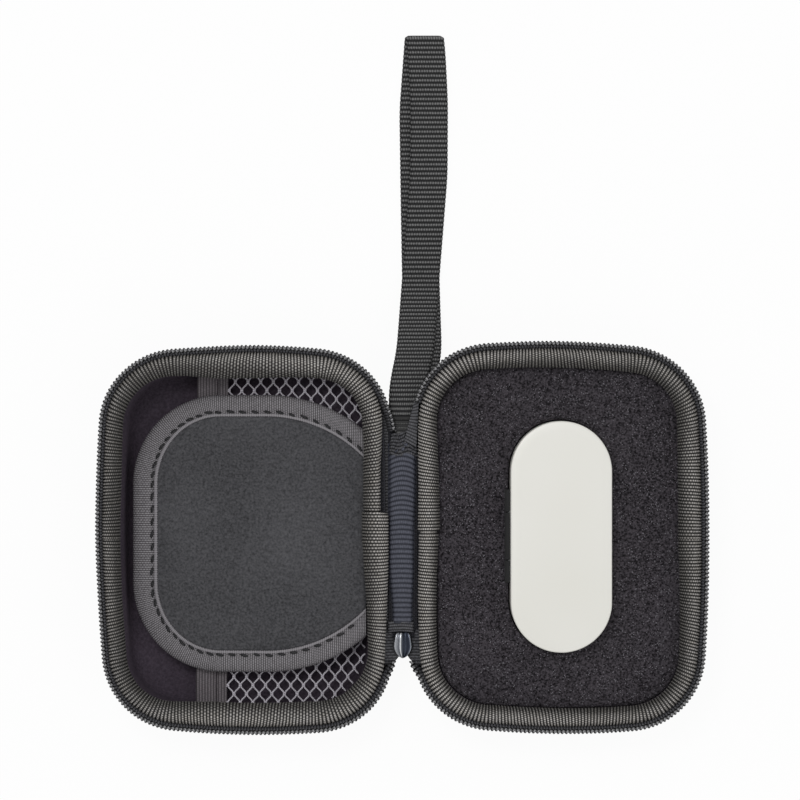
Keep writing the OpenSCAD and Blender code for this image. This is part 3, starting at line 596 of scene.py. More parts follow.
def make_materials():
    """Every finish of the case, by its slot. The colours are those of the real case in soft daylight; some
    paint light and shade.
    """
    look = bpy.context.scene.case_colours
    return {
        "cover_weave": woven_nylon("woven_nylon_cover", "0D0D0F", "34343A"),
        "shell_foam": fine_cell_foam("moulded_eva_shell", "17171A", "26262A", "303034"),
        "lining_fabric": plain_fabric("brushed_knit_lining", "322C34", "544B56", 0.35, 0.1),
        # Painted shade on the binding: its inner flank and the parts far from the spine are darkened
        "ribbed_tape": ribbed_tape("grosgrain_binding", "090808", look.binding, 0.87, yarn=0.76,
                                   warm="A39B8C", flank=(5.2, 8.4, 0.36), far_shade=0.78, even=0.1, sharp=2.6),
        "zip_tape": ribbed_tape("woven_zip_tape", "151517", "5C5C60", 0.8, yarn=0.6, depth=0.08, even=0.5),
        # The coil's pale second colour is a painted glint
        "zip_nylon": nylon_coil("extruded_nylon_coil", "0B0B0C", "88888A"),
        "insert_foam": fine_cell_foam("skived_foam_insert", "09070A", "49454A", "86848A"),
        "mesh_thread": twisted_thread("knitted_net_thread", "77727C", look.net),
        "elastic_tape": ribbed_tape("ribbed_elastic", "3C383B", "7C767A", 0.8, yarn=0.5, depth=0.08, even=0.5,
                                    turned=True),
        "panel_fabric": plain_fabric("fine_woven_panel", look.panel_dark, look.panel, 0.32, 0.06),
        # lip paints a highlight along the fold at the tape's inner edge
        "flap_tape": ribbed_tape("twill_flap_binding", "333132", look.flap_tape, 0.62, yarn=0.7, depth=0.05,
                                 even=0.4, lip=6.5),
        "black_thread": twisted_thread("waxed_black_thread", "0A0A0B", "232325"),
        "spine_ribbing": ribbed_tape("spine_grosgrain", "262830", look.spine, BAND_PITCH, yarn=0.55,
                                     depth=0.06, even=0.4, sharp=1.1),
        "slider_metal": plated_metal("gunmetal_plated_zinc", "393B3C", 0.3, across=SLIDER_PAINTED_LIGHT),
        "webbing": ribbed_tape("grosgrain_webbing", "08080A", look.strap, 1.3, yarn=0.7, depth=0.1, even=0.15,
                               sharp=3.0),
        "box_plastic": moulded_plastic("glossy_white_abs", look.box, 0.33, coat=0.2, shade="DEDDD5"),
        # Near-black ABS; on the hinge barrels it is painted shade, standing for the dark line of the box's
        # notch
        "cradle_plastic": moulded_plastic("black_abs_cradle_and_hinge_shade", "101012", 0.85, grain=0.03),
        "battery_wrap": moulded_plastic("battery_sleeve", "3F4650", 0.35),
        "circuit_board": moulded_plastic("green_solder_mask", "12482A", 0.4),
        "gold_contact": plated_metal("gold_plated_contact", "B98A36", 0.25),
        "steel_part": plated_metal("drawn_steel_pin", "8C8C8E", 0.3),
    }


def size(name):
    """A size that the user may change, in millimetres."""
    return getattr(bpy.context.scene.case_sizes, name) / MM


# Walls

# The line moulded round each underside: how far inside the outline it runs, and how deep
GROOVE_U = [19.3, 19.0, 18.5, 17.5, 17.0, 16.7]
GROOVE_Z = [0, 0.12, 0.4, 0.4, 0.12, 0]
# The wall's layers from outside in: the piece, the depths of its two faces, its finish and its node
LAYERS = (
    ("_cover_woven", 0, 0.8, "cover_weave", "_cover"),
    ("_shell_moulded", 0.85, 3.25, "shell_foam", "_shell"),
    ("_lining_knit", 3.3, WALL_T, "lining_fabric", "_lining"),
)


def wall_layer(half, t_out, t_in):
    """A layer of a half's wall between two depths, the outermost one with the moulded line.

    Its section is carried round the outline, and both faces of its floor are drawn in to the middle."""
    s, run = spaced(0, 1.1, 1)
    s = s[:-1]
    u, z = wall_section(t_out, EDGE_Z)
    if t_out == 0:
        u, z = np.concatenate([GROOVE_U, u]), np.concatenate([GROOVE_Z, z])
    u_in, z_in = wall_section(t_in, EDGE_Z)
    u, z = np.concatenate([u, u_in[::-1]]), np.concatenate([z, z_in[::-1]])
    rows = rim_points(s[:, None], u, z, half)
    across = lengths(np.stack([u, z], 1))
    floors = [patch(drawn_in(rows[:, k], 10), loop_v=True, uv="flat") for k in (0, -1)]
    return [patch(rows, loop_u=True, uv=(run, across))] + floors


def make_walls(half):
    """The woven cover, the moulded shell and the lining of a half."""
    for name, t_out, t_in, slot, node in LAYERS:
        build(half + name, wall_layer(half, t_out, t_in), half, slot, [half + node])


# Rim

# How far inside the outline the binding's two edges lie, by the share of the way round the rim
INNER_EDGE = {
    "base": ((0, 8.6), (0.05, 8.5), (0.10, 8.0), (0.15, 7.4), (0.25, 7.4), (0.35, 7.0), (0.5, 7.3),
             (0.53, 6.9), (0.57, 6.7), (0.65, 6.7), (0.7, 7.1), (0.85, 6.9), (0.92, 7.5), (1, 8.6)),
    "lid": ((0, 6.9), (0.05, 7.0), (0.10, 6.7), (0.15, 7.0), (0.2, 7.8), (0.23, 9.2), (0.26, 9.2),
            (0.3, 8.4), (0.36, 7.9), (0.44, 8.6), (0.5, 8.7), (0.55, 7.5), (0.6, 7.0), (0.64, 8.2),
            (0.7, 8.8), (0.78, 8.8), (0.82, 7.8), (0.86, 6.9), (0.95, 6.7), (1, 6.9)),
}
OUTER_EDGE = {
    "base": ((0, 2.2), (0.34, 2.2), (0.40, 2.3), (0.45, 2.3), (0.5, 2.0), (0.55, 1.8), (0.6, 2.0),
             (0.64, 2.0), (0.8, 2.1), (1, 2.2)),
    "lid": ((0, 2.0), (0.36, 2.2), (0.40, 2.7), (0.44, 3.9), (0.47, 4.0), (0.4775, 3.9), (0.4785, 2.2),
            (0.5, 2.2), (0.55, 2.3), (0.6, 2.4), (0.8, 2.1), (0.9, 2.0), (1, 2.0)),
}


def make_binding(half):
    """The rolled binding: a section carried round the rim, its height rising and falling with the ribs."""
    pitch = size("rib_pitch")
    rib_h, lap_h, seam_h = 0.24, 0.35, 0.5
    roll_h, roll_map, roll_end = 3.15, 3.3, math.radians(253)
    roll_start = math.asin((EDGE_Z - ROLL_Z) / 3.2)
    s, t = spaced(ROLL_U, pitch, 6)
    run, s, t = t, s[:-1], t[:-1]
    inner_edge, outer_edge = (np.interp(s / ROUND, *np.array(edges[half]).T)
                              for edges in (INNER_EDGE, OUTER_EDGE))
    # The tape's ends lap beside the spine: how far each place is past the upper end, which a seam marks
    past = s - ROUND / 2 + 7.5 if half == "lid" else ROUND / 2 - 2.3 - s
    lap = np.where(past > 0, lap_h * (1 - smooth((past - 14) / 24)), 0)
    ribs = rib_h * (np.abs(np.sin(math.pi * t / pitch)) ** 0.75 - 0.6)
    lift = ribs - seam_h * np.exp(-((past + 0.3) / 0.3) ** 2)
    # The ribs lean along the rim, one way and the other
    waver = 0.5 * np.sin(s * TAU * 5 / ROUND + 1) * np.sin(s * TAU * 3 / ROUND)
    a = np.linspace(roll_start, roll_end, 22)
    outer = smooth(0.5 + 1.2 * np.cos(a))
    reach_in, reach_out = (inner_edge - ROLL_MID)[:, None], (ROLL_MID - outer_edge)[:, None]
    reach = reach_in + (reach_out - reach_in) * outer + (lift + lap)[:, None]
    u = ROLL_MID - reach * np.cos(a)
    z = ROLL_Z + (roll_h + (lift + 0.4 * lap)[:, None]) * np.sin(a) + 0 * u
    # The section closes down the lining's back and along the wall's edge
    back = wall_in(EDGE_Z) + WALL_T + 0.06
    u = np.concatenate([u, np.full((len(s), 1), back)], 1)
    z = np.concatenate([z, np.full((len(s), 1), EDGE_Z)], 1)
    leaning = s[:, None] + waver[:, None] * np.append(a - math.pi / 2, 0)
    rows = rim_points(leaning, u, z, half)
    around = roll_map * (a - a[0])
    around = np.concatenate([around, [around[-1] + 2, around[-1] + 5]])
    build(half + "_binding_roll", [patch(rows, True, True, (run, around))], half, "ribbed_tape",
          [half + "_piping"])


# How far past the spine's middle the teeth start, and how far before it they end, along the outline
ZIP_START = 33.6
ZIP_END = {"base": 37.4, "lid": 29.7}
# How far each half's low end of the zip leans out to the slider
ZIP_LEAN = {"base": 1.3, "lid": 0.9}


def zip_run(half, pitch, per):
    """Distances along the zip's open run, that line's length, and its shifts inwards and upwards.

    The low end sinks to the slider, and the lid's high end sinks beside the strap."""
    low, high = ROUND / 2 + ZIP_START, 1.5 * ROUND - ZIP_END[half]
    s, t = spaced(COIL_U, pitch, per, low, high)
    gather = smooth((low + 5 - s) / 5)
    root = smooth((s - high + 9) / 9) * (half == "lid")
    return s, t, -ZIP_LEAN[half] * gather - 1.0 * root, -4.9 * gather - 1.2 * root


def make_coil(half):
    """The zip's teeth: a nylon thread wound in a spiral round a cord, one turn to each tooth."""
    steps, wire_r, cord_r = 14, 0.27, 0.35
    turn_w, turn_h = 0.48, 0.44
    s, _, inwards, up = zip_run(half, size("coil_pitch"), steps)
    middle = rim_points(s, COIL_U + inwards, COIL_Z + up, half)
    out = rim_points(s, COIL_U + inwards - 1, COIL_Z + up, half) - middle
    turn = np.arange(len(s)) * TAU / steps
    arm = turn_w * np.cos(turn)[:, None] * out + turn_h * np.sin(turn)[:, None] * UP
    wire = capped(tube(middle + arm, arm, wire_r, 6), turn / TAU, np.arange(7.0))
    cord = capped(tube(middle[::steps // 2], UP, cord_r))
    build(half + "_zip_teeth", wire + cord, half, "zip_nylon", [half + "_zip_coil"])


def make_tape(half):
    """The zip's tape: it is sewn down the outside of the wall, and its edge carries the teeth."""
    s, t, inwards, up = zip_run(half, 0.8, 2)
    low = EDGE_Z - 6
    thick = 0.6 * math.hypot(1, DRAFT)
    edge_in = wall_in(EDGE_Z)
    u = np.array([wall_in(low) - 0.1, wall_in(low) - thick, edge_in - thick, 1.4, 1.0, 0.9, 1.0, 1.4, 1.7,
                  edge_in - 0.03])
    z = np.array([low, low + 0.1, EDGE_Z, 22.7, 23.0, 23.2, 23.4, 23.45, 23.3, EDGE_Z])
    rows = rim_points(s[:, None], u + inwards[:, None], z + up[:, None], half)
    build(half + "_zip_tape_woven", capped(rows, t, girth(u, z)), half, "zip_tape", [half + "_zip_tape"])


def cloth_between(name, body, grid, run, across, thick, blend):
    """A piece of cloth over a grid of points, thick downwards, built as a blended piece."""
    under = grid[:, ::-1] - thick * UP
    rows = np.concatenate([grid, under], 1)
    width = across[-1]
    around = there_and_back(across, 2 * width + thick, 2 * width + 2 * thick)
    build(name, capped(rows, run, around), body, "zip_tape", blend=blend)


def make_tape_end():
    """The end of the base's zip tape, turned down beside the strap: it widens and tucks under the band.

    Its left and right edges are straight, and the cloth between them sags and ripples."""
    f = np.linspace(0, 1, 44)[:, None]
    g = np.linspace(0, 1, 12)[None, :]
    left = np.array([[3.0, 38.2, 22.5]]) + f * np.array([[-2.8, -11.2, -0.8]])
    right = np.array([[4.3, 39.4, 22.9]]) + f * np.array([[-0.7, -14.4, -1.6]])
    grid = left[:, None] + g[..., None] * (right - left)[:, None]
    grid[..., 2] += 0.4 * np.sin(math.pi * g) * (1 - f) + 0.2 * np.sin(f * 9) * g
    grid[..., 0] += SPINE_X
    still, moved = (SPINE_X + 5.2, 33, 22), (SPINE_X + 1.6, 33, 22)
    cloth_between("base_tape_end", "base", grid, f[:, 0] * 12, g[0] * 3, 0.5, ("spine", still, moved))


def make_fold(half):
    """The cloth between a wall and the spine: it closes the gap beside the band and runs on past the slider.

    Its inner edge follows the band and then the slider, and its outer edge the wall's inner one."""
    hand = 1 if half == "base" else -1
    y = np.linspace(-34.6, 38.6, 166)[:, None]
    g = np.linspace(0, 1, 14)[None, :]
    band_end, slider_end, strap_root = -25.0, -31.8, 33
    retreat = 1.3 if half == "lid" else -0.8
    beside = smooth((band_end - y) / 1.2)
    inner = 3.7 - 2.6 * beside + 1.6 * smooth((slider_end - y) / 2.8) + retreat * smooth((y - strap_root) / 4)
    inner_z = 18.9 - 0.5 * beside
    past = np.clip(np.abs(y) - CORNER[1], 0, None)
    corner_bow = HALF_W - CORNER[0] - np.sqrt(CORNER_R ** 2 - past ** 2)
    bow = np.where(past > 0, corner_bow, SIDE_R - np.sqrt(SIDE_R ** 2 - y ** 2))
    lapped = smooth((y - 6.5) / 1.5) * (half == "lid")
    outer = SPINE_GAP + bow + wall_in(20.4) + 0.1 + 1.6 * lapped
    x = inner + g * (outer - inner)
    z = inner_z + (20.5 + 0.9 * lapped - inner_z) * g ** 1.6 - 0.5 * np.sin(math.pi * g)
    z = z + 0.16 * np.sin(y * 1.9 + 3 * g) * np.sin(math.pi * g)
    grid = np.stack(np.broadcast_arrays(SPINE_X + hand * x, y, z), -1)
    still, moved = (SPINE_X + hand * 5.4, 0, 20), (SPINE_X + hand * 3.9, 0, 20)
    cloth_between(half + "_fold_cloth", half, grid, y[:, 0], g[0] * 2.5, 0.4, ("spine", still, moved))


# Foam insert


def stadium_reach(angle, half_width, half_straight):
    """How far a stadium's edge lies from its middle in each direction."""
    c, si = np.abs(np.cos(angle)), np.abs(np.sin(angle))
    side = half_width / np.maximum(c, 1e-9)
    end = half_straight * si + np.sqrt(np.maximum(half_width ** 2 - (half_straight * c) ** 2, 0))
    return np.where(side * si <= half_straight, side, end)


def make_foam():
    """The insert: rows run from the slot's foot up its side, across the top and down the outer edge."""
    slot_gap, slot_r, rim_r, foot, dip = 0.4, 0.5, 0.9, 4.2, 0.12
    s = spaced(8, 0.9, 1)[0][:-1]
    rim = rim_points(s, 0.0, 0.0, "base")
    angle = np.arctan2(rim[:, 1] - BOX_Y, rim[:, 0])
    reach = stadium_reach(angle, BOX_R + slot_gap, BOX_S)
    slot = np.stack([reach * np.cos(angle), BOX_Y + reach * np.sin(angle)], 1)
    edge = wall_in(FOAM_TOP) + (WALL_T + 0.15) * math.hypot(1, DRAFT)
    across = rim_points(s, edge, 0.0, "base")[:, :2] - slot
    inwards = across / np.linalg.norm(across, axis=1)[:, None]
    turns = np.linspace(0, math.pi / 2, 5)[1:]
    rise = [(0, foot), (0, 12), (0, FOAM_TOP - 0.7)]
    rise += [(slot_r * (1 - math.cos(a)), FOAM_TOP - slot_r + slot_r * math.sin(a)) for a in turns]
    rows = [at_height(slot + inwards * d, z) for d, z in rise]
    for f in np.linspace(0.03, 0.97, 26):
        rows.append(at_height(slot + across * f, FOAM_TOP - dip * math.sin(math.pi * f)))
    for a in turns:
        inset = edge + rim_r * (1 - math.sin(a))
        rows.append(rim_points(s, inset, FOAM_TOP - rim_r * (1 - math.cos(a)), "base"))
    u, z = wall_section(WALL_T + 0.2, FOAM_TOP - 1.2)
    rows += [rim_points(s, u[k], z[k], "base") for k in range(len(u) - 1, 0, -2)]
    rows.append(rim_points(s, u[0] + 1, foot, "base"))
    piece = build("foam_insert_skived", [patch(np.stack(rows), True, True)], "base", "insert_foam",
                  ["foam_insert"])


# Mesh pocket


def runs_of(keep):
    """The first and last place of each unbroken run of true values."""
    edge = np.flatnonzero(np.diff(np.concatenate([[0], keep.astype(int), [0]])))
    return zip(edge[::2], edge[1::2])


def depth_inside(x, y):
    """How far points of a half's plan lie inside its outline."""
    p = np.abs(np.stack([x, y], -1))
    v = p - CORNER
    a = np.arctan2(v[..., 1], v[..., 0])
    side = SIDE_R - np.linalg.norm(p - [SIDE_C, 0], axis=-1)
    end = END_R - np.linalg.norm(p - [0, END_C], axis=-1)
    return np.where(a < A_SIDE, side, np.where(a > A_END, end, CORNER_R - np.linalg.norm(v, axis=-1)))


# The net's height, how far from the spine its open edge lies, and the lid's middle
NET_Z, NET_EDGE, LID_X = 10.2, 47.8, 2 * SPINE_X


def lean(y):
    """How far the pocket's open edge stands off from a line along the spine: more towards its lower end."""
    return 0.5 + 0.4 * np.clip(-y / 40, 0, 1)


def make_net():
    """The net: threads that zigzag from knot to knot, each pair running side by side through its knots."""
    pitch, row, radius = size("net_pitch"), size("net_row"), size("net_thread") / 2
    knot, ripple, shortest = 0.42, 0.1, 4
    rows = np.arange(-21, 22)
    reach = np.repeat(rows * row, 2) + np.tile([-knot, knot], len(rows))
    odd = np.repeat(rows % 2, 2)
    inset = wall_in(NET_Z) + WALL_T - 0.3
    parts = []
    for k in range(-1, 13):
        for hand in (-1, 1):
            x = SPINE_X - NET_EDGE + (k + 0.5 + hand * odd / 2) * pitch + hand * (1 - 2 * odd) * radius * 0.8
            fine = np.arange(0, len(x) - 0.9, 0.25)
            eased = np.floor(fine) + 0.5 * (smooth(fine % 1) + fine % 1)
            fine_x = np.interp(eased, np.arange(len(x)), x)
            fine_y = np.interp(fine, np.arange(len(x)), reach)
            inside = fine_x > SPINE_X - NET_EDGE - 0.4
            fine_x = fine_x - lean(fine_y)
            keep = (depth_inside(fine_x - LID_X, fine_y) > inset) & (fine_x < SPINE_X - 9) & inside
            for first, last in runs_of(keep):
                if last - first > shortest:
                    z = NET_Z + ripple * hand * np.cos(np.arange(first, last) * math.pi / 8)
                    path = np.stack([fine_x[first:last], fine_y[first:last], z], 1)
                    parts += capped_tube(path, UP, radius, 6)
    net = build("pocket_net_threads", parts, "lid", "mesh_thread", ["mesh_net"])
    surface = sum(f.area for f in net.data.polygons)
    return net, surface / 2


def pocket_strip(name, near, far, slot, replaced, waves):
    """A strip of the pocket's mouth between two distances from the spine: a flat tape with a slow wave."""
    y = np.linspace(-47, 47, 320)
    x = np.linspace(near, far, 9)
    flat_x, grid_y = np.meshgrid(x, y)
    grid_x = flat_x + lean(grid_y)
    depth = wall_in(NET_Z) + WALL_T - 0.2
    local = SPINE_X - grid_x - LID_X
    # The strip's ends are drawn in, a little each time, until they lie inside the lining
    for _ in range(30):
        over = np.clip(depth - depth_inside(local, grid_y), 0, None)
        grid_y = grid_y - np.sign(grid_y) * over * 0.6
    share = (flat_x - near) / (far - near)
    z = NET_Z + 0.25 * waves * np.sin(grid_y * 0.45) * share
    half_t = 0.1 + 0.35 * rounded(2 * share - 1, 6)
    rows = slab(SPINE_X - grid_x, grid_y, z + half_t, z - half_t)
    around = there_and_back(x - near, 2 * (far - near), 2 * (far - near))
    return build(name, capped(rows, y, around), "lid", slot, [replaced])


def make_pocket():
    """The net, its hem and the elastic of the pocket's mouth."""
    net, area = make_net()
    hem = pocket_strip("pocket_hem_bound", NET_EDGE + 0.1, NET_EDGE + 3, "elastic_tape", "mesh_hem", 0.4)
    elastic = pocket_strip("pocket_mouth_elastic", NET_EDGE + 3.05, NET_EDGE + 8.8, "elastic_tape",
                           "pocket_elastic", 1.0)


# Flap

# How far from the spine's middle line its root lies, its width from there and half its length
FLAP_ROOT = 11.6
FLAP_W = SPINE_GAP + 2 * HALF_W - 8.6 - FLAP_ROOT
FLAP_HL = HALF_L - 15
# Its corner radius, the radius of the arcs at its root, where these end and how far they run on past the root
FLAP_R, FLAP_ROOT_R, FLAP_TAPER, FLAP_UNDER = 24.6, 43.0, 26.4, 1.3
# Its middle along the case, the height of its root and how steeply it falls away from there
FLAP_Y, FLAP_Z = 1.4, 20.5
FLAP_SLOPE = math.radians(6.8)


def on_flap(x, y, z):
    """Points of the flap's own plane, x from its root outwards, as points of the case."""
    c, si = math.cos(FLAP_SLOPE), math.sin(FLAP_SLOPE)
    x, y, z = np.broadcast_arrays(x, y, z)
    return np.stack([SPINE_X - FLAP_ROOT - x * c - z * si, FLAP_Y + y, FLAP_Z - x * si + z * c], -1)


def flap_edge():
    """The flap's free edge from its upper root to its lower one: points, directions inwards, distance run."""
    step = 0.3
    near, far = FLAP_TAPER, FLAP_W - FLAP_R
    open_a = math.acos((near + FLAP_UNDER) / FLAP_ROOT_R)
    points, inwards = [], []

    def arc(cx, cy, r, a0, a1, inward=None):
        a = np.linspace(a0, a1, max(2, round(abs(a1 - a0) * r / step)))[:, None]
        d = np.concatenate([np.cos(a), np.sin(a)], 1)
        points.append(np.array([cx, cy]) + r * d)
        inwards.append(-d if inward is None else np.array(inward, float) / np.maximum(np.abs(d[:, 1:]), 0.5))

    def straight(x0, y0, x1, y1, inward):
        f = np.linspace(0, 1, max(3, round(math.hypot(x1 - x0, y1 - y0) / step)))[1:-1, None]
        points.append(np.array([x0, y0]) + f * np.array([x1 - x0, y1 - y0]))
        inwards.append(np.broadcast_to(np.array(inward, float), (len(f), 2)))

    arc(near, FLAP_HL - FLAP_ROOT_R, FLAP_ROOT_R, math.pi - open_a, math.pi / 2, (0, -1))
    straight(near, FLAP_HL, far, FLAP_HL, (0, -1))
    arc(far, FLAP_HL - FLAP_R, FLAP_R, math.pi / 2, 0)
    straight(FLAP_W, FLAP_HL - FLAP_R, FLAP_W, FLAP_R - FLAP_HL, (-1, 0))
    arc(far, FLAP_R - FLAP_HL, FLAP_R, 0, -math.pi / 2)
    straight(far, -FLAP_HL, near, -FLAP_HL, (0, 1))
    arc(near, FLAP_ROOT_R - FLAP_HL, FLAP_ROOT_R, -math.pi / 2, open_a - math.pi, (0, 1))
    points, inwards = np.concatenate(points), np.concatenate(inwards)
    return points, inwards, lengths(points)


# The binding tape's section: how far inside the flap's edge and how high, out over the top and back below
FLAP_SECTION = np.array([
    (0.0, -1.1), (0.08, -0.65), (0.35, -0.25), (0.9, 0.02), (1.9, 0.2), (3.1, 0.22), (4.1, 0.05), (4.6, -0.3),
    (4.9, -0.32), (5.25, 0.02), (5.7, 0.08), (5.98, -0.1), (6.0, -0.55), (5.9, -1.9), (4.0, -2.2),
    (1.0, -2.2), (0.3, -1.95), (0.06, -1.5),
])


def bind_flap(edge, inward, run):
    """Tape folded over the flap's free edges, puckered by each stitch."""
    u, z = FLAP_SECTION.T
    pucker = np.cos(run * TAU / size("stitch_pitch"))[:, None]
    ripple = 0.05 * pucker * np.exp(-((u - 4.6) / 0.9) ** 2) * (z > -0.5)
    rows = on_flap(edge[:, :1] + u * inward[:, :1], edge[:, 1:] + u * inward[:, 1:], z + ripple)
    build("flap_binding_tape", capped(rows, run, girth(u, z)), "flap", "flap_tape", ["flap_binding"])


def pad_flap(edge, inward):
    """The padded panel: rings drawn in from the tape to the middle, below and then above."""
    ring = edge + 5.5 * inward
    back = np.linspace(ring[-1], ring[0], 60)[1:-1]
    ring = np.concatenate([ring, back])
    middle = np.array([FLAP_W / 2, 0])
    rings = 34
    fill = np.concatenate([np.linspace(0.02, 1, rings), np.linspace(1, 0.02, rings)])[:, None]
    top = -0.42 + 0.62 * (1 - fill ** 5)
    under = -1.9 - 0.2 * (1 - fill ** 4)
    height = np.where(np.arange(len(fill))[:, None] < rings, under, top)
    grid = middle + fill[:, :, None] * (ring - middle)[None]
    slack = 0.06 * np.sin(grid[..., 0] * 0.21 + 1.0) * np.sin(grid[..., 1] * 0.16) * (1 - fill)
    sheet = on_flap(grid[..., 0], grid[..., 1], height + slack * (height > -1))
    panel = build("flap_panel_padded", capped(sheet), "flap", "panel_fabric", ["flap_panel"])


def stitch_flap(edge, inward, run):
    """Running stitches in the tape's valley: short threads, thick in the middle and sunk at the ends."""
    margin, half_l, thick, points = 2.2, 1.15, 0.38, 9
    line = edge + 4.72 * inward
    f = np.linspace(-1, 1, points)
    uv = np.arange(points) * 0.2
    parts = []
    for d in np.arange(margin, run[-1] - margin, size("stitch_pitch")):
        at = np.array([np.interp(d, run, line[:, k]) for k in (0, 1)])
        ahead = np.array([np.interp(d + 0.5, run, line[:, k]) for k in (0, 1)]) - at
        ahead /= np.linalg.norm(ahead)
        side = np.array([-ahead[1], ahead[0]])
        uneven = math.sin(d * 2.7) + math.sin(d * 4.3)
        path = at + (half_l + 0.08 * uneven) * f[:, None] * ahead + (0.3 * f[:, None] + 0.08 * uneven) * side
        sunk = -0.36 + 0.34 * (1 - f ** 2)
        rings = tube(on_flap(path[:, 0], path[:, 1], sunk), UP, thick * np.sqrt(1.02 - f ** 2))
        parts += capped(rings, uv, uv)
    build("flap_running_stitches", parts, "flap", "black_thread", ["flap_stitches"])


def make_flap():
    """A padded panel whose three free edges are bound with tape and sewn with dark thread."""
    edge, inward, run = flap_edge()
    # The tape is a little wider along the far side and round its corners
    inward = inward * (1 + 0.17 * np.clip(-inward[:, :1], 0, 1) ** 2)
    bind_flap(edge, inward, run)
    pad_flap(edge, inward)
    stitch_flap(edge, inward, run)


# Spine


def band_height(x, y):
    """Height of the ribbed band over its own length: crosswise ribs and a crown across it."""
    ribs = 0.26 * np.abs(np.sin(math.pi * y / BAND_PITCH)) ** 0.8
    crown = 0.55 * (1 - (np.abs(x) / BAND_HW) ** 2.5) - 1.3 * smooth((np.abs(x) - 3.2) / 1.0)
    return BAND_TOP - 0.25 + crown + ribs


def make_ribbed_band():
    """The ribbed inner band: its sides draw in towards the slider, and its ribs arch towards the strap."""
    y = np.linspace(-23.1, 27.6, 860)
    x = np.linspace(-BAND_HW, BAND_HW, 29)
    form_x, grid_y = np.meshgrid(x, y)
    drawn = smooth((-6 - grid_y) / 15)
    left = -4.3 + 1.1 * drawn
    right = 3.7 - 0.5 * smooth((18 - grid_y) / 20) - 0.5 * drawn
    grid_x = left + (form_x / (2 * BAND_HW) + 0.5) * (right - left)
    arch = (0.015 + 0.07 * smooth((grid_y + 6) / 30)) * form_x ** 2 * smooth((grid_y + 22) / 6)
    rows = slab(SPINE_X + grid_x, grid_y - arch, band_height(form_x, grid_y), BAND_TOP - 1.4)
    around = there_and_back(x, 2 * BAND_HW, 16.0)
    build("spine_ribbed_band", capped(rows, y, around), "spine", "spine_ribbing", ["spine_band"])


def make_hem_roll():
    """The band's lower hem: rolled fabric, two soft folds deep."""
    f = np.linspace(0, 1, 48)[:, None]
    g = np.linspace(-1, 1, 40)[None, :]
    half_w = 3.6
    x, y = -0.7 + half_w * g, -22.4 - 3.0 * f - 0.3 * g * g
    lumps = 0.3 * np.abs(np.sin(math.pi * (2 * f + 0.3 * np.sin(2.2 * g)))) + 0.12 * np.sin(5 * g + 4 * f)
    border = rounded(g, 6, 1) * rounded(2 * f - 1, 6, 1)
    z = BAND_TOP - 0.6 + (0.7 + lumps) * np.sqrt(border)
    around = there_and_back(g[0] * half_w, 7.4, 14)
    rows = slab(SPINE_X + x, y, z, BAND_TOP - 1.4)
    build("spine_hem_roll", capped(rows, f[:, 0] * 3, around), "spine", "zip_tape")


def make_gathered_root():
    """The gathered fabric at the band's upper end, where the strap is sewn in."""
    f = np.linspace(0, 1, 60)[:, None]
    g = np.linspace(-1, 1, 50)[None, :]
    x = g * (4.1 - 0.7 * f)
    y = 22.9 + 5.6 * f + 0.35 * np.sin(g * 5) + 1.3 * f * (1 - g * g)
    lumps = (0.45 * np.sin(x * 2.3 + 1.2 * np.sin(y * 1.7)) * np.sin(y * 2.1 + 0.8 * x)
             + 0.25 * np.sin(x * 4.1 - y * 2.6) + 0.15 * np.sin(x * 6.3 + y * 5.2))
    border = rounded(g, 8, 1) * rounded(2 * f - 1, 8, 1)
    z = BAND_TOP - 0.2 + (1.0 + lumps) * np.sqrt(border)
    around = there_and_back(g[0] * 3.9, 8, 15)
    rows = slab(SPINE_X + x, y, z, BAND_TOP - 0.7)
    build("spine_gathered_root", capped(rows, f[:, 0] * 5.6, around), "spine", "zip_tape")


def make_outer_weave():
    """The woven outer band: flat, with soft edges, and bent down at its lower end to clear the slider."""
    x = np.linspace(-1, 1, 25)
    section_x = np.concatenate([x, x[::-1]]) * 4.15
    section_z = np.concatenate([-0.1 - 0.5 * x ** 6, -0.75 - 0.35 * x[::-1] ** 6])
    y = np.linspace(-27.2, 31, 82)
    middle_z = 19.55 - 0.8 * smooth(-24.4 - y[:, None])
    rows = np.stack(np.broadcast_arrays(SPINE_X + section_x, y[:, None], middle_z + section_z), -1)
    around = lengths(np.stack([section_x, section_z], 1))
    around = np.append(around, around[-1] + 0.7)
    build("spine_outer_weave", capped(rows, y, around), "spine", "cover_weave", ["spine_cover"])


# Zip slider

# The slider's middle along the case, and how far its upper end lies from there
SLIDER_Y, SLIDER_L = -29.5, 4.1


def slider_half_width(t):
    """Half the slider's width along it: narrow where the teeth leave closed, wide where they come apart."""
    above = (2.2 + 0.55 * smooth(t + 1)) * rounded(t, 12)
    return np.where(t < 0, above, 2.75 * rounded(t, 1.9, 0.7))


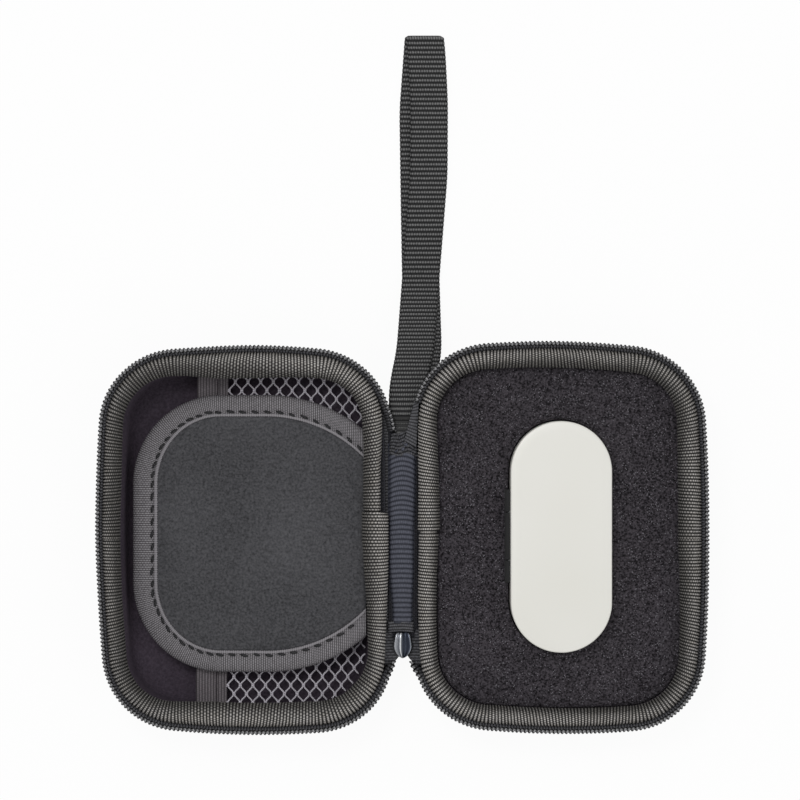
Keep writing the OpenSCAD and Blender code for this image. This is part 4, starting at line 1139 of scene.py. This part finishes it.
def make_slider():
    """Two cast plates on a post: the upper one is domed in two lobes with a ridge between them."""
    t = np.sin(np.linspace(-math.pi / 2, math.pi / 2, 48))[:, None]
    v = np.sin(np.linspace(-math.pi / 2, math.pi / 2, 41))[None, :]
    x = SPINE_X - 0.2 + v * slider_half_width(t)
    y = SLIDER_Y - t * np.where(t < 0, SLIDER_L, 0.8 * SLIDER_L)
    end = rounded(t, 6)
    dome = rounded(v, 12)
    groove = 0.35 * np.exp(-((v - 0.3) / 0.25) ** 2) + 0.12 * np.exp(-((v + 0.55) / 0.1) ** 2)
    belly = rounded(v, 8) * end
    upper = slab(x, y, 19.3 + 1.15 * (dome - groove) * end, 19.25)
    lower = slab(x, y, 17.45, 17.4 - belly)
    around = np.concatenate([SLIDER_MAP + v[0], np.zeros(v.shape[1] + 1)])
    plates = [patch(rows, loop_v=True, uv=(y[:, 0], around)) for rows in (upper, lower)]
    post = np.array([(SPINE_X, SLIDER_Y + 1.2, z) for z in (17.2, 19.5)])
    post_r = 0.9
    build("slider_cast_plates", plates + capped_tube(post, np.array([1.0, 0, 0]), post_r, 20), "slider",
          "slider_metal", ["slider_body"])


# Wrist strap

STRAP_REACH = 140.0
# Beyond the first distance from the case's middle, the drawn edges are spread to reach the strap's end
EVEN_FROM, DRAWN_REACH = 60.0, 138.5
# Where each ply's left edge lies from the spine's middle, by the distance up from the case's middle
FRONT_LEFT = ((27.6, -1.2), (30, -2.6), (34, -4.0), (39, -4.1), (44, -3.6), (52, -1.9), (74, -0.2),
              (100, 1.9), (120, 2.0), (134, 1.3), (139, 0.7))
BACK_LEFT = ((27.6, -1.2), (30, -2.4), (34, -3.6), (39, -3.6), (43, -1.6), (47, -0.6), (52, 0.2),
             (74, -0.4), (90, -0.7), (118, -1.1), (134, 0.1), (139, 0.5))
# Middles of the two plies over the strap's lower face, and the height of that face at the root
LOWER_MID, UPPER_MID = 0.6, 1.8
ROOT_BOTTOM = BAND_TOP + 0.6 - 2 * 1.2 - 0.1


def left_edge(rows, y):
    """Where a ply's left edge lies from the spine: the drawn places, spread beyond the case and smoothed."""
    spread = (STRAP_REACH - EVEN_FROM) / (DRAWN_REACH - EVEN_FROM)
    at, value = np.array(rows).T
    at = np.where(at < EVEN_FROM, at, EVEN_FROM + (at - EVEN_FROM) * spread)
    around = np.linspace(-3.5, 3.5, 15)
    return np.mean([np.interp(y + d, at, value) for d in around], 0)


def strap_line():
    """The webbing's middle line, out along the upper ply and back along the lower, with its sides' places."""
    fold_r = 0.75
    fold_y = STRAP_REACH - 1.35
    y_out = np.linspace(28.6, fold_y, 900)
    a = np.linspace(math.pi / 2, -math.pi / 2, 24)[1:-1]
    bottom = ROOT_BOTTOM * (1 - smooth((y_out - 34) / 40))
    gap = 0.1 + 0.2 * np.clip((y_out - 34) / 20, 0, 1)
    path_y = np.concatenate([y_out, fold_y + fold_r * np.cos(a), y_out[::-1]])
    path_z = np.concatenate([bottom + UPPER_MID + gap, LOWER_MID + fold_r + fold_r * np.sin(a),
                             (bottom + LOWER_MID)[::-1]])
    upper, lower = left_edge(FRONT_LEFT, y_out), left_edge(BACK_LEFT, y_out)
    left = np.concatenate([upper, np.linspace(upper[-1], lower[-1], len(a)), lower[::-1]])
    # The webbing is pleated at its root, and its right side keeps clear of the base's upper corner
    width = 10.4 - 5.4 * smooth((38 - path_y) / 10)
    past = np.maximum(0, path_y - CORNER[1])
    rim = -CORNER[0] - np.sqrt(np.maximum(CORNER_R ** 2 - past ** 2, 0)) - SPINE_X
    free = 99
    right = np.minimum(left + width, np.where(past < CORNER_R, rim - 0.1, free))
    return path_y, path_z, left, right


def make_strap():
    """One length of grosgrain, ribbed across, with lips at both sides."""
    pitch = size("webbing_pitch")
    path_y, path_z, left, right = strap_line()
    run = lengths(np.stack([path_y, path_z], 1))
    even = np.arange(0, run[-1], pitch / 7)
    path_y, path_z, left, right = (np.interp(even, run, q) for q in (path_y, path_z, left, right))
    up_y, up_z = -np.gradient(path_z, even), np.gradient(path_y, even)
    cord = np.abs(np.sin(math.pi * even / pitch)) ** 0.8
    v = np.linspace(0, 1, 15)
    lip = rounded(2 * v - 1, 12)
    scallop = 0.12 * (cord - 0.5)
    left, right = left - scallop, right + scallop
    x = SPINE_X + left[:, None] + v * (right - left)[:, None]
    half_t = (0.34 + 0.24 * cord)[:, None] * lip
    path_y, path_z, up_y, up_z = (q[:, None] for q in (path_y, path_z, up_y, up_z))
    upper, lower = (np.stack([x, path_y + t * up_y, path_z + t * up_z], -1) for t in (half_t, -half_t))
    rows = np.concatenate([upper, lower[:, ::-1]], 1)
    around = there_and_back(v * 10, 20, 20)
    strap = build("wrist_strap_webbing", capped(rows, even, around), "strap", "webbing", ["wrist_strap"])


# Charging box


def stadium_ring(inset):
    """A ring round the charging box, inset from its side: two half circles joined by straights."""
    a = np.linspace(0, math.pi, 40)
    r = BOX_R - inset
    far, near = (np.stack([r * np.cos(k), BOX_Y + q * BOX_S + r * np.sin(k)], 1)
                 for k, q in ((a, 1), (a + math.pi, -1)))
    f = np.linspace(0, 1, 14)[1:-1, None]
    left, right = far[-1] + f * (near[0] - far[-1]), near[-1] + f * (far[0] - near[-1])
    return np.concatenate([far, left, near, right])


def box_wall(section):
    """A wall of the charging box: its section, as insets and heights, carried round and closed inside."""
    rows = np.stack([at_height(stadium_ring(inset), BOX_Z + z) for inset, z in section])
    run = lengths(np.concatenate([rows[0], rows[0][:1]]))
    across = lengths(np.array(section))
    floors = [patch(drawn_in(rows[k], 6), loop_v=True, uv="flat") for k in (0, -1)]
    return [patch(rows, loop_v=True, uv=(across, run))] + floors


def knuckle(from_y, to_y):
    """One barrel of the charging box's hinge, its ends slightly rounded."""
    y = np.array([from_y, from_y + 0.05, from_y + 0.25, to_y - 0.25, to_y - 0.05, to_y])
    r = np.array([1.2, 1.38, 1.5, 1.5, 1.38, 1.2])
    path = np.stack([np.full(6, -BOX_R), BOX_Y + y, np.full(6, BOX_Z + SEAM)], 1)
    return capped_tube(path, UP, r, 28)


def make_box():
    """The glossy shell and lid, and the near-black barrels of the hinge between them, painted shade for its
    notch.
    """
    top_r, low_r, wall = 0.5, 4.0, 1.6
    turns = np.linspace(0, math.pi / 2, 9)
    # From the lid's ceiling down its inside, round the seam, up its side and over its edge
    lid = [(wall, BOX_H - wall), (wall, SEAM + 0.1), (0.15, SEAM + 0.1), (0.0, SEAM + 0.3), (0.0, SEAM + 4)]
    lid += [(top_r * (1 - math.cos(a)), BOX_H - top_r * (1 - math.sin(a))) for a in turns]
    lid += [(3.0, BOX_H + 0.02)]
    build("charging_box_lid", box_wall(lid), "box_lid", "box_plastic", ["box_lid"])
    # From the shell's foot round its lower edge, up its side, round the seam and down its inside
    shell = [(low_r * (1 - math.sin(a)), low_r * (1 - math.cos(a))) for a in turns]
    shell += [(0, SEAM / 2), (0, SEAM - 0.25), (0.15, SEAM - 0.05), (wall, SEAM - 0.05), (wall, 4.0)]
    shell += [(wall + 2.0, wall)]
    build("charging_box_shell", box_wall(shell), "box", "box_plastic", ["box_shell"])
    end, middle, gap = 13.0, 6.5, 0.15
    # The barrels are near-black as painted shade, for the dark line of the hinge's notch beside the box
    build("box_hinge_barrel", knuckle(-middle, middle), "box", "cradle_plastic")
    outer = knuckle(-end + gap, -middle - gap) + knuckle(middle + gap, end - gap)
    build("box_lid_hinge_barrels", outer, "box_lid", "cradle_plastic")


# Frame nodes


def finish_cad_nodes():
    """Gives every CAD node that still shows the finish of its slot."""
    for entry in frame["record"]["subparts"]:
        node = frame["nodes"][entry["node"]]
        if not node.hide_render:
            node.data.materials.clear()
            node.data.materials.append(FINISHES[entry["material_slot"]])


# Stage


def aim(thing, place, target):
    """Sets a lamp or a camera at a place, looking at a target, both in metres."""
    thing.location = place
    thing.rotation_euler = (Vector(target) - Vector(place)).to_track_quat("-Z", "Y").to_euler()


def lamp(name, place, target, width, watts):
    """A square soft lamp, in metres and watts."""
    light = bpy.data.lights.new(name, "AREA")
    light.size, light.energy = width, watts
    thing = bpy.data.objects.new(name, light)
    bpy.context.scene.collection.objects.link(thing)
    aim(thing, place, target)


# The picture's middle and width and the height of the rims, in metres
VIEW_X, VIEW_Y, VIEW_W, RIM_HEIGHT = -0.0441, 0.0382, 0.2192, 0.0235
# The lens and its sensor, in millimetres
LENS, SENSOR = 200.0, 36.0
# The strength of the world's grey light and the watts of the lamps
AMBIENT, KEY_WATTS, FILL_WATTS = 0.58, 3.0, 1.3
# Half the floor's side and its height, in metres, and how far its glow drowns the shadow
FLOOR_REACH, FLOOR_DROP, FLOOR_GLOW = 3.0, -0.0003, 0.94


def seen_by(tree, *rays):
    """1 where the ray is of one of the kinds named, and 0 elsewhere."""
    path = add(tree, "ShaderNodeLightPath")
    seen = path.outputs[rays[0]]
    for ray in rays[1:]:
        seen = add(tree, "MAXIMUM", seen, path.outputs[ray])
    return seen


def make_world():
    """A white world where the camera, glass or a gloss sees it, and a grey one as light."""
    world = bpy.data.worlds.new("studio")
    bpy.context.scene.world = world
    world.use_nodes = True
    tree = world.node_tree
    seen = seen_by(tree, "Is Camera Ray", "Is Glossy Ray", "Is Transmission Ray")
    sky = tree.nodes["Background"]
    sky.inputs["Color"].default_value = (1, 1, 1, 1)
    tree.links.new(add(tree, "MULTIPLY_ADD", seen, 1 - AMBIENT, AMBIENT).outputs[0], sky.inputs["Strength"])


def make_floor():
    """A white floor that keeps a faint shadow of the case."""
    material, tree, shader = new_material("pale_floor", "F2F2F2", 0.9)
    seen = seen_by(tree, "Is Camera Ray", "Is Transmission Ray")
    glow = add(tree, "ShaderNodeEmission", {"Color": (1, 1, 1, 1), "Strength": 1.0})
    mix = add(tree, "ShaderNodeMixShader", {0: add(tree, "MULTIPLY", seen, FLOOR_GLOW), 1: shader, 2: glow})
    out = next(n for n in tree.nodes if n.type == "OUTPUT_MATERIAL")
    tree.links.new(mix.outputs[0], out.inputs["Surface"])
    signs = ((-1, -1), (1, -1), (1, 1), (-1, 1))
    corners = [(x * FLOOR_REACH, y * FLOOR_REACH, FLOOR_DROP) for x, y in signs]
    mesh = bpy.data.meshes.new("floor")
    mesh.from_pydata(corners, [], [(0, 1, 2, 3)])
    mesh.materials.append(material)
    floor = bpy.data.objects.new("floor", mesh)
    bpy.context.scene.collection.objects.link(floor)


def make_camera():
    """A long lens straight above, whose picture is VIEW_W wide at the height of the rims."""
    scene = bpy.context.scene
    camera = bpy.data.objects.new("camera", bpy.data.cameras.new("camera"))
    scene.collection.objects.link(camera)
    camera.data.lens, camera.data.sensor_width = LENS, SENSOR
    camera.location = (VIEW_X, VIEW_Y, RIM_HEIGHT + VIEW_W / 2 / (SENSOR / 2 / LENS))
    camera.data.clip_start, camera.data.clip_end = 0.1, 20
    scene.camera = camera


def make_stage():
    """The world, the floor, two soft lamps and the camera."""
    bpy.context.scene.view_settings.view_transform = "Standard"
    make_world()
    make_floor()
    centre = (VIEW_X, 0.0, 0.02)
    lamp("key_lamp", (VIEW_X - 0.16, 0.24, 1.0), centre, 0.26, KEY_WATTS)
    lamp("fill_lamp", (VIEW_X + 0.5, -0.4, 0.8), centre, 0.8, FILL_WATTS)
    make_camera()


# Add-on


def length_prop(name, description, default):
    """A length given in millimetres and kept in metres."""
    return bpy.props.FloatProperty(name=name, description=description, default=default * MM, min=0.1 * MM,
                                   unit="LENGTH", precision=5)


def colour_prop(name, description, code):
    """A colour given as a hex code."""
    return bpy.props.FloatVectorProperty(name=name, description=description, default=hex_colour(code)[:3],
                                         subtype="COLOR", min=0, max=1)


class CaseSizes(bpy.types.PropertyGroup):
    """Spacings of the case's fine detail"""

    rib_pitch: length_prop("Binding ribs", "Distance between the ribs of the rolled binding", 0.87)
    coil_pitch: length_prop("Zip teeth", "Distance between the zip's teeth", 1.13)
    net_pitch: length_prop("Net knots", "Distance between the knots of one row of the net", 3.5)
    net_row: length_prop("Net rows", "Distance between two rows of the net's knots", 2.4)
    net_thread: length_prop("Net thread", "Thickness of the net's threads", 0.5)
    stitch_pitch: length_prop("Stitches", "Distance between the flap's stitches", 3.45)
    webbing_pitch: length_prop("Webbing ribs", "Distance between the ribs of the wrist strap", 1.3)


class CaseColours(bpy.types.PropertyGroup):
    """Lightest colours of the case's fabrics and of the charging box"""

    binding: colour_prop("Binding", "Crests of the rolled binding's ribs", "CECBC9")
    net: colour_prop("Net", "Threads of the pocket's net", "E2DEE6")
    panel: colour_prop("Panel", "Threads of the flap's panel", "57575A")
    panel_dark: colour_prop("Panel ground", "Gaps between the threads of the flap's panel", "262628")
    flap_tape: colour_prop("Flap binding", "Crests of the flap's binding tape", "888589")
    spine: colour_prop("Spine", "Crests of the spine's ribs", "585A65")
    strap: colour_prop("Strap", "Crests of the wrist strap's ribs", "747474")
    box: colour_prop("Charging box", "The charging box's plastic", "E3E2DC")


class CASE_OT_finishes(bpy.types.Operator):
    """Make every material"""

    bl_idname = "case.finishes"
    bl_label = "Finishes"

    def execute(self, context):
        FINISHES.update(make_materials())
        return {"FINISHED"}


class CASE_OT_walls(bpy.types.Operator):
    """Make the covers, the shells and the linings of both halves"""

    bl_idname = "case.walls"
    bl_label = "Walls"

    def execute(self, context):
        for half in HALVES:
            make_walls(half)
        return {"FINISHED"}


class CASE_OT_bindings(bpy.types.Operator):
    """Make the ribbed binding round both rims"""

    bl_idname = "case.bindings"
    bl_label = "Bindings"

    def execute(self, context):
        for half in HALVES:
            make_binding(half)
        return {"FINISHED"}


class CASE_OT_zip(bpy.types.Operator):
    """Make the teeth, the tapes and the cloth beside the spine"""

    bl_idname = "case.zip"
    bl_label = "Zip"

    def execute(self, context):
        for half in HALVES:
            make_coil(half)
            make_tape(half)
            make_fold(half)
        make_tape_end()
        return {"FINISHED"}


class CASE_OT_foam(bpy.types.Operator):
    """Make the insert that holds the charging box"""

    bl_idname = "case.foam"
    bl_label = "Foam insert"

    def execute(self, context):
        make_foam()
        return {"FINISHED"}


class CASE_OT_pocket(bpy.types.Operator):
    """Make the net, its hem and its elastic"""

    bl_idname = "case.pocket"
    bl_label = "Mesh pocket"

    def execute(self, context):
        make_pocket()
        return {"FINISHED"}


class CASE_OT_flap(bpy.types.Operator):
    """Make the padded panel, its binding and its stitches"""

    bl_idname = "case.flap"
    bl_label = "Flap"

    def execute(self, context):
        make_flap()
        return {"FINISHED"}


class CASE_OT_spine(bpy.types.Operator):
    """Make the bands that join the halves"""

    bl_idname = "case.spine"
    bl_label = "Spine"

    def execute(self, context):
        make_ribbed_band()
        make_hem_roll()
        make_gathered_root()
        make_outer_weave()
        return {"FINISHED"}


class CASE_OT_slider(bpy.types.Operator):
    """Make the slider's plates and its post"""

    bl_idname = "case.slider"
    bl_label = "Zip slider"

    def execute(self, context):
        make_slider()
        return {"FINISHED"}


class CASE_OT_strap(bpy.types.Operator):
    """Make the loop of webbing"""

    bl_idname = "case.strap"
    bl_label = "Wrist strap"

    def execute(self, context):
        make_strap()
        return {"FINISHED"}


class CASE_OT_box(bpy.types.Operator):
    """Make the shell, the lid and the hinge barrels"""

    bl_idname = "case.box"
    bl_label = "Charging box"

    def execute(self, context):
        make_box()
        return {"FINISHED"}


class CASE_OT_cad(bpy.types.Operator):
    """Give the frame's own nodes their finishes"""

    bl_idname = "case.cad"
    bl_label = "Frame nodes"

    def execute(self, context):
        finish_cad_nodes()
        return {"FINISHED"}


class CASE_OT_stage(bpy.types.Operator):
    """Make the world, the floor, the lamps and the camera"""

    bl_idname = "case.stage"
    bl_label = "Stage"

    def execute(self, context):
        make_stage()
        return {"FINISHED"}


# In the order in which they run
OPERATORS = (
    CASE_OT_finishes, CASE_OT_walls, CASE_OT_bindings, CASE_OT_zip, CASE_OT_foam, CASE_OT_pocket,
    CASE_OT_flap, CASE_OT_spine, CASE_OT_slider, CASE_OT_strap, CASE_OT_box, CASE_OT_cad, CASE_OT_stage,
)


class CASE_PT_panel(bpy.types.Panel):
    """Lists the parts of the case and their settings"""

    bl_label = "Earbud Case"
    bl_space_type = "VIEW_3D"
    bl_region_type = "UI"
    bl_category = "Earbud Case"

    def draw(self, context):
        for operator in OPERATORS:
            self.layout.operator(operator.bl_idname, text=operator.bl_label)
        for group in (context.scene.case_sizes, context.scene.case_colours):
            for name in type(group).__annotations__:
                self.layout.prop(group, name)


CLASSES = (CaseSizes, CaseColours, CASE_PT_panel) + OPERATORS


def register():
    """Registers the classes and hangs the case's settings on the scene."""
    for c in CLASSES:
        bpy.utils.register_class(c)
    bpy.types.Scene.case_sizes = bpy.props.PointerProperty(type=CaseSizes)
    bpy.types.Scene.case_colours = bpy.props.PointerProperty(type=CaseColours)


def unregister():
    """Undoes what register did, in turn."""
    del bpy.types.Scene.case_colours
    del bpy.types.Scene.case_sizes
    for c in reversed(CLASSES):
        bpy.utils.unregister_class(c)


def main():
    """Builds the case and its stage."""
    register()
    for operator in OPERATORS:
        group, name = operator.bl_idname.split(".")
        getattr(getattr(bpy.ops, group), name)()


if __name__ == "__main__":
    main()
